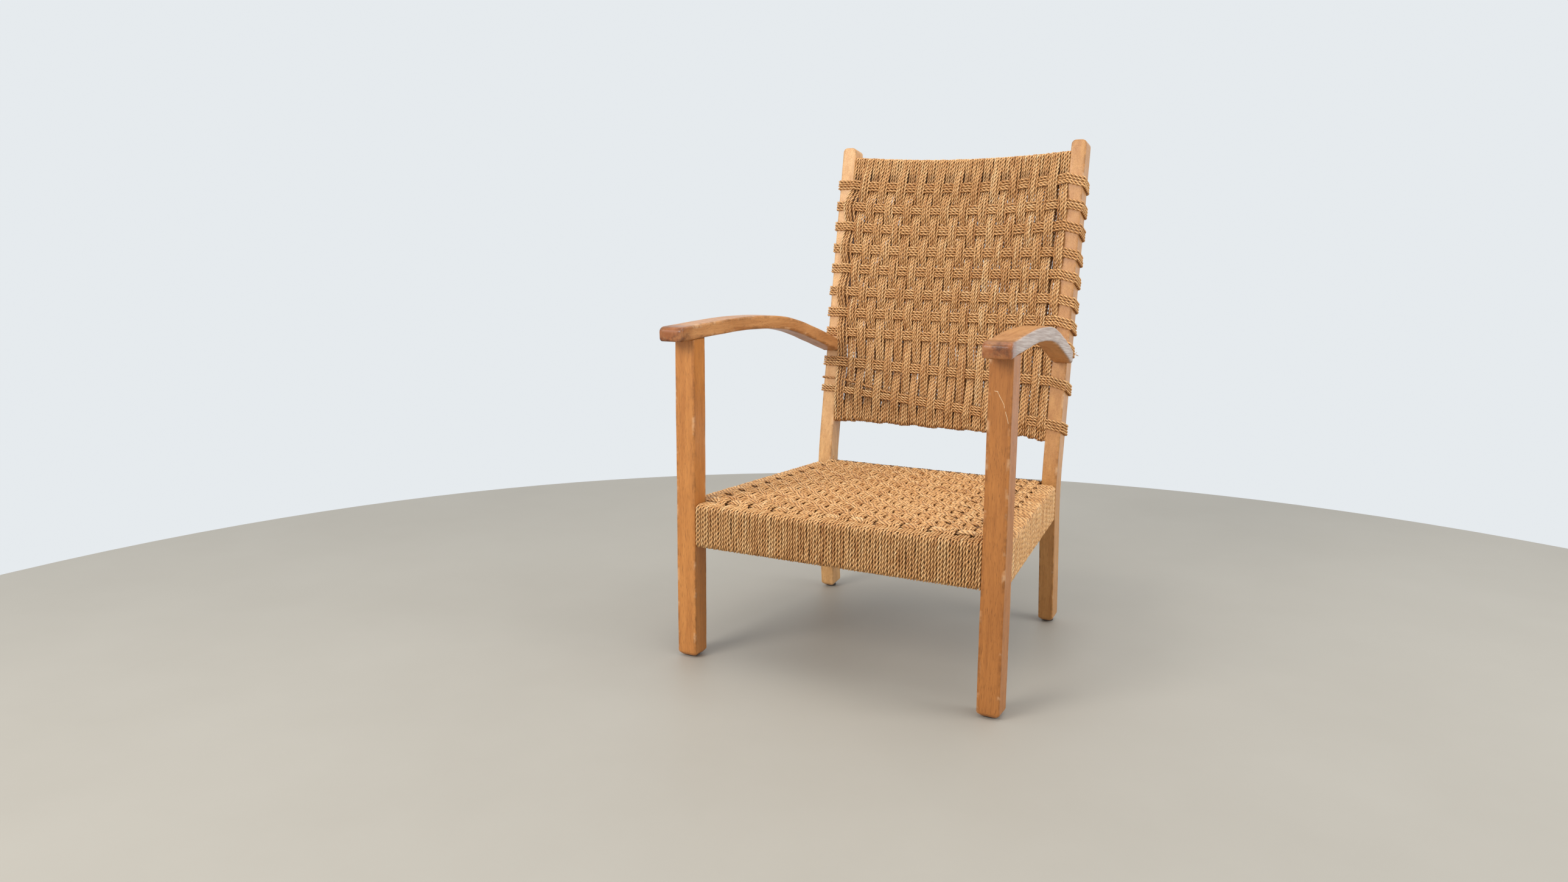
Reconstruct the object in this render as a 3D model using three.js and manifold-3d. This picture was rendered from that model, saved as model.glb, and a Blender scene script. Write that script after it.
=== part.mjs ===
// Armchair with a square-section wooden frame and a seat and back woven from twisted cord.
// Millimetres, +Z up. The front faces -Y, +X is the sitter's left-hand side.
// Pieces are laid out with Y = 0 at the front face of the front legs; the last lines move the
// chair so that the middle of its box stands over the origin.
import * as THREE from 'three'
import { mergeVertices } from 'three/addons/utils/BufferGeometryUtils.js'
import Module from 'manifold-3d'

const wasm = await Module()
wasm.setup()

// ---------------------------------------------------------------- driving dimensions
const GAP = 0.3                 // air left between pieces that meet
const CORD = 5                  // diameter of the twisted cord

const LEG = 38                  // side of the square stock of the front legs
const LEG_OUTER = 300           // half the width over the front legs
const EDGE = 1.6                // rounding of the long edges of the stock
const FOOT_CHAMFER = 6
const GLIDE_HEIGHT = 3
const GLIDE_RADIUS = 11
const NAIL_RADIUS = 1.5
const NAIL_LENGTH = 16

const POST_WIDTH = 29           // back posts: width across the chair
const POST_DEPTH = 38           // and depth, square to the post
const POST_OUTER = 255          // half the width over the back posts
const POST_TOP_Z = 940
const POST_TOP_ROUND = 9
const KNEE = { y: 474.3, z: 272.8 }   // where the two straight runs of a post's front face meet
const KNEE_REACH = 70           // how far from there the bend begins
const FOOT_RAKE = THREE.MathUtils.degToRad(6)     // lower run leans back towards the floor
const LEAN = THREE.MathUtils.degToRad(9.5)        // upper run leans back towards the top

const ARM_THICK = 25
const ARM_EDGE = 4
const ARM_FRONT = { y: -37, inner: 261.5, outer: 308 }
const ARM_REAR = { y: 517, inner: 227, outer: 265.5 }
// underside of the armrest from its front end to the post: a low arch that drops to the post
const ARM_UNDERSIDE = [[-37, 574], [60, 579.2], [165, 582.6], [270, 578.8], [345, 567.5], [425, 545.5],
  [516, 517.5]]
const ARM_NOSE = 10             // rounding of the top edge at the front end

const RAIL_THICK = 22
const RAIL_BOTTOM = 211.5
const RAIL_TOP = 281
const SIDE_RAIL_BOTTOM = 217.5
const TENON_THICK = 10
const TENON_LONG = 24           // in the legs
const TENON_SHORT = 19          // in the narrower posts
const TENON_ROOT = 8            // how far a back rail's tenon starts inside the rail
const TENON_SHOULDER = 6        // rail above and below its tenon
const UPPER_TENON = { low: 249, high: 276 }       // front and back seat rails
const LOWER_TENON = { low: 220, high: 244 }       // side seat rails
const BACK_RAIL_Y = 487         // front face of the back seat rail

// the back panel is measured square to the posts: t runs up the post from the knee,
// n runs backwards from the front face of the posts
const PANEL_BOTTOM = 103
const PANEL_TOP = 658
const PANEL_FRONT = 0.8
const PANEL_SET_BACK = 22       // how much further back the middle of the panel lies
const TOP_DIP = 5               // how much lower the middle of the panel's top edge is
const TOP_RAIL_HEIGHT = 44
const BOTTOM_RAIL_HEIGHT = 32
const WEFT_ROWS = [599, 554, 511, 463.5, 421, 372, 330, 287, 220, 154]   // t of each row's middle
const WEFT_HEIGHT = 4 * CORD
const CURVE_STEPS = 12          // facets across a curved rail
// roundings of the cords where they bend over a rail or a post
const CORD_CORNER = { seat: 7, seatTop: 13, seatSide: 9, seatLow: 4, back: 4, row: 3 }

const DOWEL_RADIUS = 6
const ARM_DOWEL_RADIUS = 4

const PAST = 10                 // how far cutting shapes run past the stock
const MOUTH = 1                 // how far a mortise cutter starts outside the face it opens in
const HOLE_SPARE = 1            // depth left free behind a dowel or nail

// ---------------------------------------------------------------- materials
const wood = () => new THREE.MeshStandardMaterial({ color: 0xb87a3e, roughness: 0.38, metalness: 0 })
const hiddenWood = () => new THREE.MeshStandardMaterial({ color: 0xc79a66, roughness: 0.6, metalness: 0 })
const dowelWood = () => new THREE.MeshStandardMaterial({ color: 0xd2b184, roughness: 0.7, metalness: 0 })
const cord = () => new THREE.MeshStandardMaterial({ color: 0xc49a66, roughness: 0.75, metalness: 0 })
const glideMetal = () => new THREE.MeshStandardMaterial({ color: 0x2b2320, roughness: 0.5, metalness: 0.4 })

// ---------------------------------------------------------------- solids
function toManifold(geometry) {
  const bare = geometry.clone()
  bare.deleteAttribute('normal')
  bare.deleteAttribute('uv')
  const g = mergeVertices(bare, 1e-4)
  return new wasm.Manifold(new wasm.Mesh({
    numProp: 3,
    vertProperties: new Float32Array(g.attributes.position.array),
    triVerts: new Uint32Array(g.index.array)
  }))
}

function toGeometry(manifold) {
  const m = manifold.getMesh()
  const g = new THREE.BufferGeometry()
  g.setAttribute('position', new THREE.BufferAttribute(new Float32Array(m.vertProperties), 3))
  g.setIndex(new THREE.BufferAttribute(new Uint32Array(m.triVerts), 1))
  g.computeVertexNormals()
  return g
}

// first piece, less all the others
function cut(geometry, ...cutters) {
  let body = toManifold(geometry)
  for (const c of cutters) body = body.subtract(toManifold(c))
  return toGeometry(body)
}

function join(geometry, ...others) {
  let body = toManifold(geometry)
  for (const o of others) body = body.add(toManifold(o))
  return toGeometry(body)
}

function common(a, b) {
  return toGeometry(toManifold(a).intersect(toManifold(b)))
}

// the same piece for the other side of the chair
function mirrored(geometry) {
  const g = geometry.index ? geometry.clone() : mergeVertices(geometry)
  g.scale(-1, 1, 1)
  const index = g.index.array
  for (let i = 0; i < index.length; i += 3) [index[i], index[i + 1]] = [index[i + 1], index[i]]
  g.computeVertexNormals()
  return g
}

function box(lowX, highX, lowY, highY, lowZ, highZ) {
  const g = new THREE.BoxGeometry(highX - lowX, highY - lowY, highZ - lowZ)
  g.translate((lowX + highX) / 2, (lowY + highY) / 2, (lowZ + highZ) / 2)
  return g
}

function rod(radius, length, sides = 16) {
  return new THREE.CylinderGeometry(radius, radius, length, sides)   // lies along Y
}

// extrusion with its edges rounded inside the outline; low and high are its two end planes
function extrude(shape, low, high, round = 0, steps = 1, segments = 2) {
  const g = new THREE.ExtrudeGeometry(shape, {
    depth: high - low - 2 * round,
    steps,
    curveSegments: 6,
    bevelEnabled: round > 0,
    bevelThickness: round,
    bevelSize: round,
    bevelOffset: -round,
    bevelSegments: segments
  })
  g.translate(0, 0, low + round)
  return g
}

const X = new THREE.Vector3(1, 0, 0)
const Y = new THREE.Vector3(0, 1, 0)
const Z = new THREE.Vector3(0, 0, 1)
const YZ_TO_X = new THREE.Matrix4().makeBasis(Y, Z, X)   // outline in Y, Z; extruded along X
const ZX_TO_Y = new THREE.Matrix4().makeBasis(Z, X, Y)   // outline in Z, X; extruded along Y

const outline = points => new THREE.Shape(points.map(([u, v]) => new THREE.Vector2(u, v)))

// outline of cords wrapped round a pair of rails, one cord thick, with rounded outer corners
function cordLoop(u0, u1, v0, v1, round) {
  const s = new THREE.Shape()
  s.moveTo(u0 + round, v0)
  s.lineTo(u1 - round, v0)
  s.quadraticCurveTo(u1, v0, u1, v0 + round)
  s.lineTo(u1, v1 - round)
  s.quadraticCurveTo(u1, v1, u1 - round, v1)
  s.lineTo(u0 + round, v1)
  s.quadraticCurveTo(u0, v1, u0, v1 - round)
  s.lineTo(u0, v0 + round)
  s.quadraticCurveTo(u0, v0, u0 + round, v0)
  s.holes.push(outline([
    [u0 + CORD, v0 + CORD], [u1 - CORD, v0 + CORD], [u1 - CORD, v1 - CORD], [u0 + CORD, v1 - CORD]
  ]))
  return s
}

// moves every vertex by a rule
function reshape(geometry, rule) {
  const p = geometry.attributes.position
  for (let i = 0; i < p.count; i++) {
    const [x, y, z] = rule(p.getX(i), p.getY(i), p.getZ(i))
    p.setXYZ(i, x, y, z)
  }
  geometry.computeVertexNormals()
  return geometry
}

// ---------------------------------------------------------------- back posts
const upper = new THREE.Vector2(Math.sin(LEAN), Math.cos(LEAN))        // in Y, Z, going up
const lower = new THREE.Vector2(Math.sin(FOOT_RAKE), -Math.cos(FOOT_RAKE))   // going down
const postTop = (POST_TOP_Z - KNEE.z) / upper.y
const frontOfPost = z => KNEE.y + (z - KNEE.z) * upper.x / upper.y     // above the bend

// side outline of a post: two straight runs and a gentle bend
function postOutline() {
  const half = (LEAN + FOOT_RAKE) / 2
  const middle = new THREE.Vector2(Math.cos(LEAN - half), -Math.sin(LEAN - half))
  const corner = n => new THREE.Vector2(KNEE.y, KNEE.z).addScaledVector(middle, n / Math.cos(half))
  const a = corner(0)
  const b = corner(POST_DEPTH)
  const go = (from, along, d) => from.clone().addScaledVector(along, d)
  const toFloor = p => (p.y - GLIDE_HEIGHT) / -lower.y
  const s = new THREE.Shape()
  const start = go(a, lower, toFloor(a))
  s.moveTo(start.x, start.y)
  const a1 = go(a, lower, KNEE_REACH), a2 = go(a, upper, KNEE_REACH)
  const b1 = go(b, lower, KNEE_REACH), b2 = go(b, upper, KNEE_REACH)
  const backFoot = go(b, lower, toFloor(b))
  s.lineTo(backFoot.x, backFoot.y)
  s.lineTo(b1.x, b1.y)
  s.quadraticCurveTo(b.x, b.y, b2.x, b2.y)
  const topFront = go(a, upper, postTop)
  const topBack = topFront.clone().add(new THREE.Vector2(upper.y, -upper.x).multiplyScalar(POST_DEPTH))
  s.lineTo(topBack.x, topBack.y)
  s.lineTo(topFront.x, topFront.y)
  s.lineTo(a2.x, a2.y)
  s.quadraticCurveTo(a.x, a.y, a1.x, a1.y)
  return s
}

const postInner = POST_OUTER - POST_WIDTH

function postBlank() {
  const side = extrude(postOutline(), postInner, POST_OUTER, EDGE).applyMatrix4(YZ_TO_X)
  // seen from the front: rounded top corners and a chamfered foot
  const r = POST_TOP_ROUND
  const crown = POST_TOP_Z + 0.8               // just above the top, which stays flat in the middle
  const face = new THREE.Shape()
  const c = FOOT_CHAMFER - 1
  face.moveTo(GLIDE_HEIGHT, postInner + c)
  face.lineTo(GLIDE_HEIGHT + c, postInner)
  face.lineTo(POST_TOP_Z - r, postInner)
  face.quadraticCurveTo(POST_TOP_Z, postInner, crown, postInner + r)
  face.lineTo(crown, POST_OUTER - r)
  face.quadraticCurveTo(POST_TOP_Z, POST_OUTER, POST_TOP_Z - r, POST_OUTER)
  face.lineTo(GLIDE_HEIGHT + c, POST_OUTER)
  face.lineTo(GLIDE_HEIGHT, POST_OUTER - c)
  const front = extrude(face, KNEE.y - 70, KNEE.y + 220).applyMatrix4(ZX_TO_Y)   // past the whole post
  return common(side, front)
}

// wedges that chamfer the front and back of a foot, for a foot that spans y0 to y1 at the floor
function footWedges(x0, x1, y0, y1) {
  const out = 2 * PAST
  const low = GLIDE_HEIGHT - out
  const high = GLIDE_HEIGHT + FOOT_CHAMFER + out
  const wedge = (y, way) => {
    const outside = [y - way * out, low]
    const inside = [y + way * (FOOT_CHAMFER + out), low]
    const above = [y - way * out, high]
    const triangle = way > 0 ? [outside, inside, above] : [outside, above, inside]
    return extrude(outline(triangle), x0 - PAST, x1 + PAST).applyMatrix4(YZ_TO_X)
  }
  return [wedge(y0, 1), wedge(y1, -1)]
}

// ---------------------------------------------------------------- the back panel's own frame
const back = new THREE.Group()
back.position.set(0, KNEE.y, KNEE.z)
back.rotation.x = -LEAN
back.updateMatrix()
const inBack = geometry => geometry.applyMatrix4(back.matrix)
const bow = x => 1 - Math.min(1, Math.abs(x) / postInner) ** 2
const setBack = x => PANEL_SET_BACK * bow(x)

// curved rail between the posts; its section is t0 to t1 high, its ends carry tenons
function backRail(t0, t1, dip = 0) {
  const n0 = PANEL_FRONT + CORD + GAP
  const end = postInner - GAP
  const plank = extrude(outline([[n0, t0], [n0 + RAIL_THICK, t0], [n0 + RAIL_THICK, t1], [n0, t1]]),
    -end, end, 0, CURVE_STEPS).applyMatrix4(YZ_TO_X)
  reshape(plank, (x, n, t) => [x, n + setBack(x), t - dip * bow(x)])
  const tenon = backTenon(t0, t1, TENON_ROOT)
  return join(plank, tenon, mirrored(tenon))
}

// tenon of a back rail at the sitter's left; it starts a little inside the post's inner face, and it is
// grown by a clearance when it cuts the mortise
function backTenon(t0, t1, root, clear = 0) {
  const n0 = PANEL_FRONT + CORD + GAP + (RAIL_THICK - TENON_THICK) / 2
  return box(postInner - root, postInner + TENON_SHORT + clear, n0 - clear, n0 + TENON_THICK + clear,
    t0 + TENON_SHOULDER - clear, t1 - TENON_SHOULDER + clear)
}

const topRail = { low: PANEL_TOP - CORD - GAP - TOP_RAIL_HEIGHT, high: PANEL_TOP - CORD - GAP }
const bottomRail = { low: PANEL_BOTTOM + CORD + GAP, high: PANEL_BOTTOM + CORD + GAP + BOTTOM_RAIL_HEIGHT }

// loop of side-by-side cords wrapped over the top and bottom rails
function backWarp() {
  const shape = cordLoop(PANEL_FRONT, PANEL_FRONT + RAIL_THICK + 2 * (CORD + GAP), PANEL_BOTTOM, PANEL_TOP,
    CORD_CORNER.back)
  const end = postInner - 1                    // the last cord stands just off the post
  const middle = (PANEL_BOTTOM + PANEL_TOP) / 2
  const g = new THREE.ExtrudeGeometry(shape, {
    depth: 2 * end, steps: CURVE_STEPS, curveSegments: 2, bevelEnabled: false
  })
  g.translate(0, 0, -end)
  g.applyMatrix4(YZ_TO_X)
  return reshape(g, (x, n, t) => [x, n + setBack(x), t > middle ? t - TOP_DIP * bow(x) : t])
}

// band of four cords that crosses the panel and goes round both posts, t is its middle
function backWeft(t) {
  const clearFront = PANEL_FRONT - GAP
  const clearBack = PANEL_FRONT + RAIL_THICK + 2 * (CORD + GAP) + GAP
  const front = x => Math.min(-GAP, clearFront) + (Math.abs(x) < postInner ? setBack(x) : 0)
  const rear = x => Math.max(POST_DEPTH + GAP, clearBack + setBack(x))
  const stations = []
  for (let i = 0; i <= CURVE_STEPS; i++) stations.push(postInner * (2 * i / CURVE_STEPS - 1))
  const loop = grow => {
    const side = POST_OUTER + GAP + grow
    const c = grow > 0 ? CORD_CORNER.row : 0.5
    return [
      [-side + c, -GAP - grow], ...stations.map(x => [x, front(x) - grow]), [side - c, -GAP - grow],
      [side, -GAP - grow + c], [side, POST_DEPTH + GAP + grow - c],
      [side - c, POST_DEPTH + GAP + grow], ...stations.map(x => [-x, rear(x) + grow]),
      [-side + c, POST_DEPTH + GAP + grow],
      [-side, POST_DEPTH + GAP + grow - c], [-side, -GAP - grow + c]
    ]
  }
  const band = outline(loop(CORD))
  band.holes.push(outline(loop(0)))
  return extrude(band, t - WEFT_HEIGHT / 2, t + WEFT_HEIGHT / 2)
}

// ---------------------------------------------------------------- seat rails
const legInner = LEG_OUTER - LEG

function frontRail() {
  const y = CORD + GAP
  const middle = y + RAIL_THICK / 2
  const bar = box(-legInner + GAP, legInner - GAP, y, y + RAIL_THICK, RAIL_BOTTOM, RAIL_TOP)
  const reach = legInner + TENON_LONG
  return join(bar, box(-reach, reach, middle - TENON_THICK / 2, middle + TENON_THICK / 2,
    UPPER_TENON.low, UPPER_TENON.high))
}

function backSeatRail() {
  const middle = BACK_RAIL_Y + RAIL_THICK / 2
  const bar = box(-postInner + GAP, postInner - GAP, BACK_RAIL_Y, BACK_RAIL_Y + RAIL_THICK,
    RAIL_BOTTOM, RAIL_TOP)
  const reach = postInner + TENON_SHORT
  return join(bar, box(-reach, reach, middle - TENON_THICK / 2, middle + TENON_THICK / 2,
    UPPER_TENON.low, UPPER_TENON.high))
}

// side rails run from the wide front to the narrower back, one cord inside the outer faces
const sideY0 = LEG
const sideY1 = 480
const RAIL_SPARE = 4                           // trimmed off against the raked face of the post
const sideOuter = y => LEG_OUTER - CORD - GAP - (y - sideY0) / (sideY1 - sideY0) * (LEG_OUTER - POST_OUTER)

function sideRailBar(low, high, y0, y1, inset, thick, grow = 0) {
  return extrude(outline([
    [sideOuter(y0) - inset - thick - grow, y0], [sideOuter(y0) - inset + grow, y0],
    [sideOuter(y1) - inset + grow, y1], [sideOuter(y1) - inset - thick - grow, y1]
  ]), low, high)
}

const sideTenonInset = (RAIL_THICK - TENON_THICK) / 2

function sideRail(post) {
  const bar = sideRailBar(SIDE_RAIL_BOTTOM, RAIL_TOP, sideY0 + GAP, sideY1 + RAIL_SPARE, 0, RAIL_THICK)
  const clearPost = post.clone().translate(0, -GAP, 0)
  const shoulder = cut(bar, clearPost)
  const tenon = sideRailBar(LOWER_TENON.low, LOWER_TENON.high, sideY0 - TENON_LONG, sideY1 + TENON_LONG,
    sideTenonInset, TENON_THICK)
  return join(shoulder, tenon)
}

function sideTenonMortise(y0, y1) {
  return sideRailBar(LOWER_TENON.low - GAP, LOWER_TENON.high + GAP, y0, y1, sideTenonInset, TENON_THICK, GAP)
}

// ---------------------------------------------------------------- seat cords
const seatHalf = y => legInner - GAP - y / (KNEE.y - 10) * (legInner - postInner)
const warpTop = RAIL_TOP + GAP + CORD
const warpBottom = RAIL_BOTTOM - GAP - CORD

// cords that run from front to back, wrapped round the front and back rails
function seatWarp() {
  const y1 = BACK_RAIL_Y + RAIL_THICK + GAP + CORD
  const g = extrude(cordLoop(0, y1, warpBottom, warpTop, CORD_CORNER.seat), -1, 1).applyMatrix4(YZ_TO_X)
  return reshape(g, (x, y, z) => [x * seatHalf(y), y, z])
}

// cords that run from side to side, wrapped round the side rails
function seatWeft() {
  const top = warpTop + GAP + CORD
  const bottom = warpBottom + CORD + GAP
  const { seatTop, seatSide, seatLow } = CORD_CORNER
  const w = LEG_OUTER
  const s = new THREE.Shape()
  s.moveTo(bottom + seatLow, -w)
  s.lineTo(top - seatSide, -w)
  s.quadraticCurveTo(top, -w, top, -w + seatTop)
  s.lineTo(top, w - seatTop)
  s.quadraticCurveTo(top, w, top - seatSide, w)
  s.lineTo(bottom + seatLow, w)
  s.quadraticCurveTo(bottom, w, bottom, w - seatLow)
  s.lineTo(bottom, -w + seatLow)
  s.quadraticCurveTo(bottom, -w, bottom + seatLow, -w)
  const inner = w - CORD
  s.holes.push(outline([
    [bottom + CORD, -inner], [warpTop - CORD, -inner], [warpTop + GAP, -inner + CORD],
    [warpTop + GAP, inner - CORD], [warpTop - CORD, inner], [bottom + CORD, inner]
  ]))
  const g = extrude(s, sideY0 + 2 * GAP, sideY1 - 3).applyMatrix4(ZX_TO_Y)
  const slope = (LEG_OUTER - POST_OUTER) / (sideY1 - sideY0)
  return reshape(g, (x, y, z) => [x - Math.sign(x) * (y - sideY0) * slope, y, z])
}

// ---------------------------------------------------------------- armrest, sitter's left
function armPlan(y) {
  const f = (y - ARM_FRONT.y) / (ARM_REAR.y - ARM_FRONT.y)
  return {
    inner: THREE.MathUtils.lerp(ARM_FRONT.inner, ARM_REAR.inner, f),
    outer: THREE.MathUtils.lerp(ARM_FRONT.outer, ARM_REAR.outer, f)
  }
}

function armrest(drop = 0, extraWidth = 0) {
  const curve = new THREE.SplineCurve(ARM_UNDERSIDE.map(([y, z]) => new THREE.Vector2(y, z)))
  const count = 22
  const under = []
  const over = []
  for (let i = 0; i <= count; i++) {
    const p = curve.getPoint(i / count)
    const along = curve.getTangent(i / count)
    under.push(p)
    over.push(new THREE.Vector2(p.x - along.y * ARM_THICK, p.y + along.x * ARM_THICK))
  }
  // both ends of the last section lie on the front face of the post
  const onPost = p => new THREE.Vector2(frontOfPost(p.y) - GAP, p.y)
  under[count] = onPost(under[count])
  over[count] = onPost(over[count])
  const front = ARM_FRONT.y
  const s = new THREE.Shape()
  s.moveTo(under[0].x, under[0].y)
  under.slice(1).forEach(p => s.lineTo(p.x, p.y))
  over.slice(1).reverse().forEach(p => s.lineTo(p.x, p.y))
  s.lineTo(front + ARM_NOSE, over[0].y + 0.4)
  s.quadraticCurveTo(front, over[0].y, front, over[0].y - ARM_NOSE)
  const width = ARM_FRONT.outer - ARM_FRONT.inner
  const g = extrude(s, 0, width, ARM_EDGE, 1, 3).applyMatrix4(YZ_TO_X)
  return reshape(g, (x, y, z) => {
    const p = armPlan(y)
    return [p.inner - extraWidth + x / width * (p.outer - p.inner + 2 * extraWidth), y, z - drop]
  })
}

// ---------------------------------------------------------------- dowels
// upright dowel between front leg and armrest
const legDowel = { x: LEG_OUTER - LEG / 2, y: LEG / 2, low: 552, high: 592 }

function uprightRod(radius, low, high) {
  const g = rod(radius, high - low)
  g.rotateX(Math.PI / 2)
  g.translate(legDowel.x, legDowel.y, (low + high) / 2)
  return g
}
// pair of dowels between armrest and post, square to the post's front face
const armDowel = { t: 262, reach: 18, xs: [235, 247] }

function crossRod(radius, x, low, high) {
  const g = rod(radius, high - low)
  g.translate(x, (low + high) / 2, armDowel.t)
  return inBack(g)
}

// ---------------------------------------------------------------- glide under a foot
function glide(x, y) {
  const profile = [[0, 0], [GLIDE_RADIUS - 1.2, 0], [GLIDE_RADIUS, 1.2], [GLIDE_RADIUS, GLIDE_HEIGHT - GAP],
    [NAIL_RADIUS, GLIDE_HEIGHT - GAP], [NAIL_RADIUS, NAIL_LENGTH - 3], [0, NAIL_LENGTH]]
  const g = new THREE.LatheGeometry(profile.map(([r, h]) => new THREE.Vector2(r, h)), 20)
  g.rotateX(Math.PI / 2)
  g.translate(x, y, 0)
  return toGeometry(toManifold(g))
}

function nailHole(x, y) {
  const g = rod(NAIL_RADIUS + GAP, NAIL_LENGTH + 2 * HOLE_SPARE, 12)
  g.rotateX(Math.PI / 2)
  g.translate(x, y, NAIL_LENGTH / 2)
  return g
}

// ---------------------------------------------------------------- assembly
const chair = new THREE.Group()

function add(name, geometry, material, parent = chair) {
  const mesh = new THREE.Mesh(geometry, material)
  mesh.name = name
  parent.add(mesh)
}
function addPair(name, geometry, material) {
  add(`${name}_left`, geometry, material())
  add(`${name}_right`, mirrored(geometry), material())
}

const post = postBlank()
const footBack = KNEE.y + Math.tan(FOOT_RAKE) * (KNEE.z - GLIDE_HEIGHT)
const postFootY = footBack + POST_DEPTH / 2
const postFootX = POST_OUTER - POST_WIDTH / 2
const arm = armrest()

// front legs
const legStock = 590                           // longer than the leg; the armrest's underside trims it
const legBlank = extrude(outline([
  [GLIDE_HEIGHT, legInner + FOOT_CHAMFER], [GLIDE_HEIGHT + FOOT_CHAMFER, legInner], [legStock, legInner],
  [legStock, LEG_OUTER], [GLIDE_HEIGHT + FOOT_CHAMFER, LEG_OUTER], [GLIDE_HEIGHT, LEG_OUTER - FOOT_CHAMFER]
]), 0, LEG, EDGE).applyMatrix4(ZX_TO_Y)
const frontMortise = box(legInner - MOUTH, legInner + TENON_LONG + GAP,
  CORD + GAP + (RAIL_THICK - TENON_THICK) / 2 - GAP, CORD + GAP + (RAIL_THICK + TENON_THICK) / 2 + GAP,
  UPPER_TENON.low - GAP, UPPER_TENON.high + GAP)
const leg = cut(legBlank, armrest(GAP, PAST), frontMortise,
  sideTenonMortise(sideY0 - TENON_LONG - GAP, sideY0 + PAST),
  ...footWedges(legInner, LEG_OUTER, 0, LEG),
  nailHole(LEG_OUTER - LEG / 2, LEG / 2),
  uprightRod(DOWEL_RADIUS + GAP, legDowel.low - HOLE_SPARE, legDowel.high + PAST))
addPair('front_leg', leg, wood)

// back posts
const backMortises = [topRail, bottomRail].map(r => inBack(backTenon(r.low, r.high, MOUTH, GAP)))
const seatMortise = box(postInner - MOUTH, postInner + TENON_SHORT + GAP,
  BACK_RAIL_Y + (RAIL_THICK - TENON_THICK) / 2 - GAP, BACK_RAIL_Y + (RAIL_THICK + TENON_THICK) / 2 + GAP,
  UPPER_TENON.low - GAP, UPPER_TENON.high + GAP)
const finishedPost = cut(post, ...backMortises, seatMortise,
  sideTenonMortise(sideY1 - 2 * PAST, sideY1 + TENON_LONG + GAP),
  ...footWedges(postInner, POST_OUTER, footBack, footBack + POST_DEPTH / Math.cos(FOOT_RAKE)),
  nailHole(postFootX, postFootY),
  ...armDowel.xs.map(x => crossRod(ARM_DOWEL_RADIUS + GAP, x, -PAST, armDowel.reach + HOLE_SPARE)))
addPair('back_post', finishedPost, wood)

// armrests
const finishedArm = cut(arm, uprightRod(DOWEL_RADIUS + GAP, legDowel.low, legDowel.high + HOLE_SPARE),
  ...armDowel.xs.map(x => crossRod(ARM_DOWEL_RADIUS + GAP, x, -armDowel.reach - HOLE_SPARE, PAST)))
addPair('armrest', finishedArm, wood)
addPair('arm_front_dowel', uprightRod(DOWEL_RADIUS, legDowel.low, legDowel.high), dowelWood)
const rearDowel = x => crossRod(ARM_DOWEL_RADIUS, x, -armDowel.reach, armDowel.reach)
addPair('arm_rear_dowel_inner', rearDowel(armDowel.xs[0]), dowelWood)
addPair('arm_rear_dowel_outer', rearDowel(armDowel.xs[1]), dowelWood)

// seat
add('seat_rail_front', frontRail(), hiddenWood())
add('seat_rail_back', backSeatRail(), hiddenWood())
addPair('seat_rail', sideRail(post), hiddenWood)
add('seat_cord_front_to_back', seatWarp(), cord())
add('seat_cord_side_to_side', seatWeft(), cord())

// back
chair.add(back)
add('back_rail_top', backRail(topRail.low, topRail.high, TOP_DIP), hiddenWood(), back)
add('back_rail_bottom', backRail(bottomRail.low, bottomRail.high), hiddenWood(), back)
add('back_cord_upright', backWarp(), cord(), back)
WEFT_ROWS.forEach((t, i) => add(`back_cord_row_${String(i + 1).padStart(2, '0')}`, backWeft(t), cord(), back))

// glides
addPair('glide_front', glide(LEG_OUTER - LEG / 2, LEG / 2), glideMetal)
addPair('glide_back', glide(postFootX, postFootY), glideMetal)

// centre the chair over the origin
const group = new THREE.Group()
group.add(chair)
group.updateMatrixWorld(true)
const size = new THREE.Box3().setFromObject(group)
chair.position.set(0, -(size.min.y + size.max.y) / 2, -size.min.z)

export default group
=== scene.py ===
"""Wooden armchair with a woven cord seat and back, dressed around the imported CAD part.

Everything is laid out in millimetres with Y = 0 at the front face of the front legs, and written to
the meshes in metres in the row frame. Groups of four cords are counted from the sitter's right.
"""
import math

import bpy
import numpy as np
from mathutils import Matrix, Vector


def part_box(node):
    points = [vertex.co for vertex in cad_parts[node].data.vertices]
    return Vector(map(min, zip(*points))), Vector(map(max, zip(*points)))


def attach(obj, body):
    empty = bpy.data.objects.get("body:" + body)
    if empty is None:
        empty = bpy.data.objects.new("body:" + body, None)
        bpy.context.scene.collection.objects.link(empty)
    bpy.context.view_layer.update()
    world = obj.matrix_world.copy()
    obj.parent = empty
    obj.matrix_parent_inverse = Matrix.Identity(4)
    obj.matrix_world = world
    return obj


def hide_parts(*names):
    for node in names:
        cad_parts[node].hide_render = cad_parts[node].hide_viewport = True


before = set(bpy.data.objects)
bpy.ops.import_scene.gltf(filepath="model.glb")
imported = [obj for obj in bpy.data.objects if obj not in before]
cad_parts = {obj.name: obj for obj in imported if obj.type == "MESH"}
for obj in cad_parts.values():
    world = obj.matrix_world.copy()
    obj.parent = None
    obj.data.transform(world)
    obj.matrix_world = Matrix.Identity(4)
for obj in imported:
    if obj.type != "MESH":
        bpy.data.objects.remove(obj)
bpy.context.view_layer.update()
rng = np.random.default_rng(11)

# ------------------------ driving dimensions, mm
MM = 0.001
X_AXIS, Y_AXIS = np.array([1.0, 0, 0]), np.array([0, 1.0, 0])
FRONT_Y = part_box("front_leg_left")[0].y  # row frame, metres


def box_mm(node):
    """Lowest and highest corner of a CAD node in the layout used here."""
    lo, hi = (np.array(c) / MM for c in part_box(node))
    shift = np.array([0, FRONT_Y / MM, 0])
    return lo - shift, hi - shift


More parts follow.
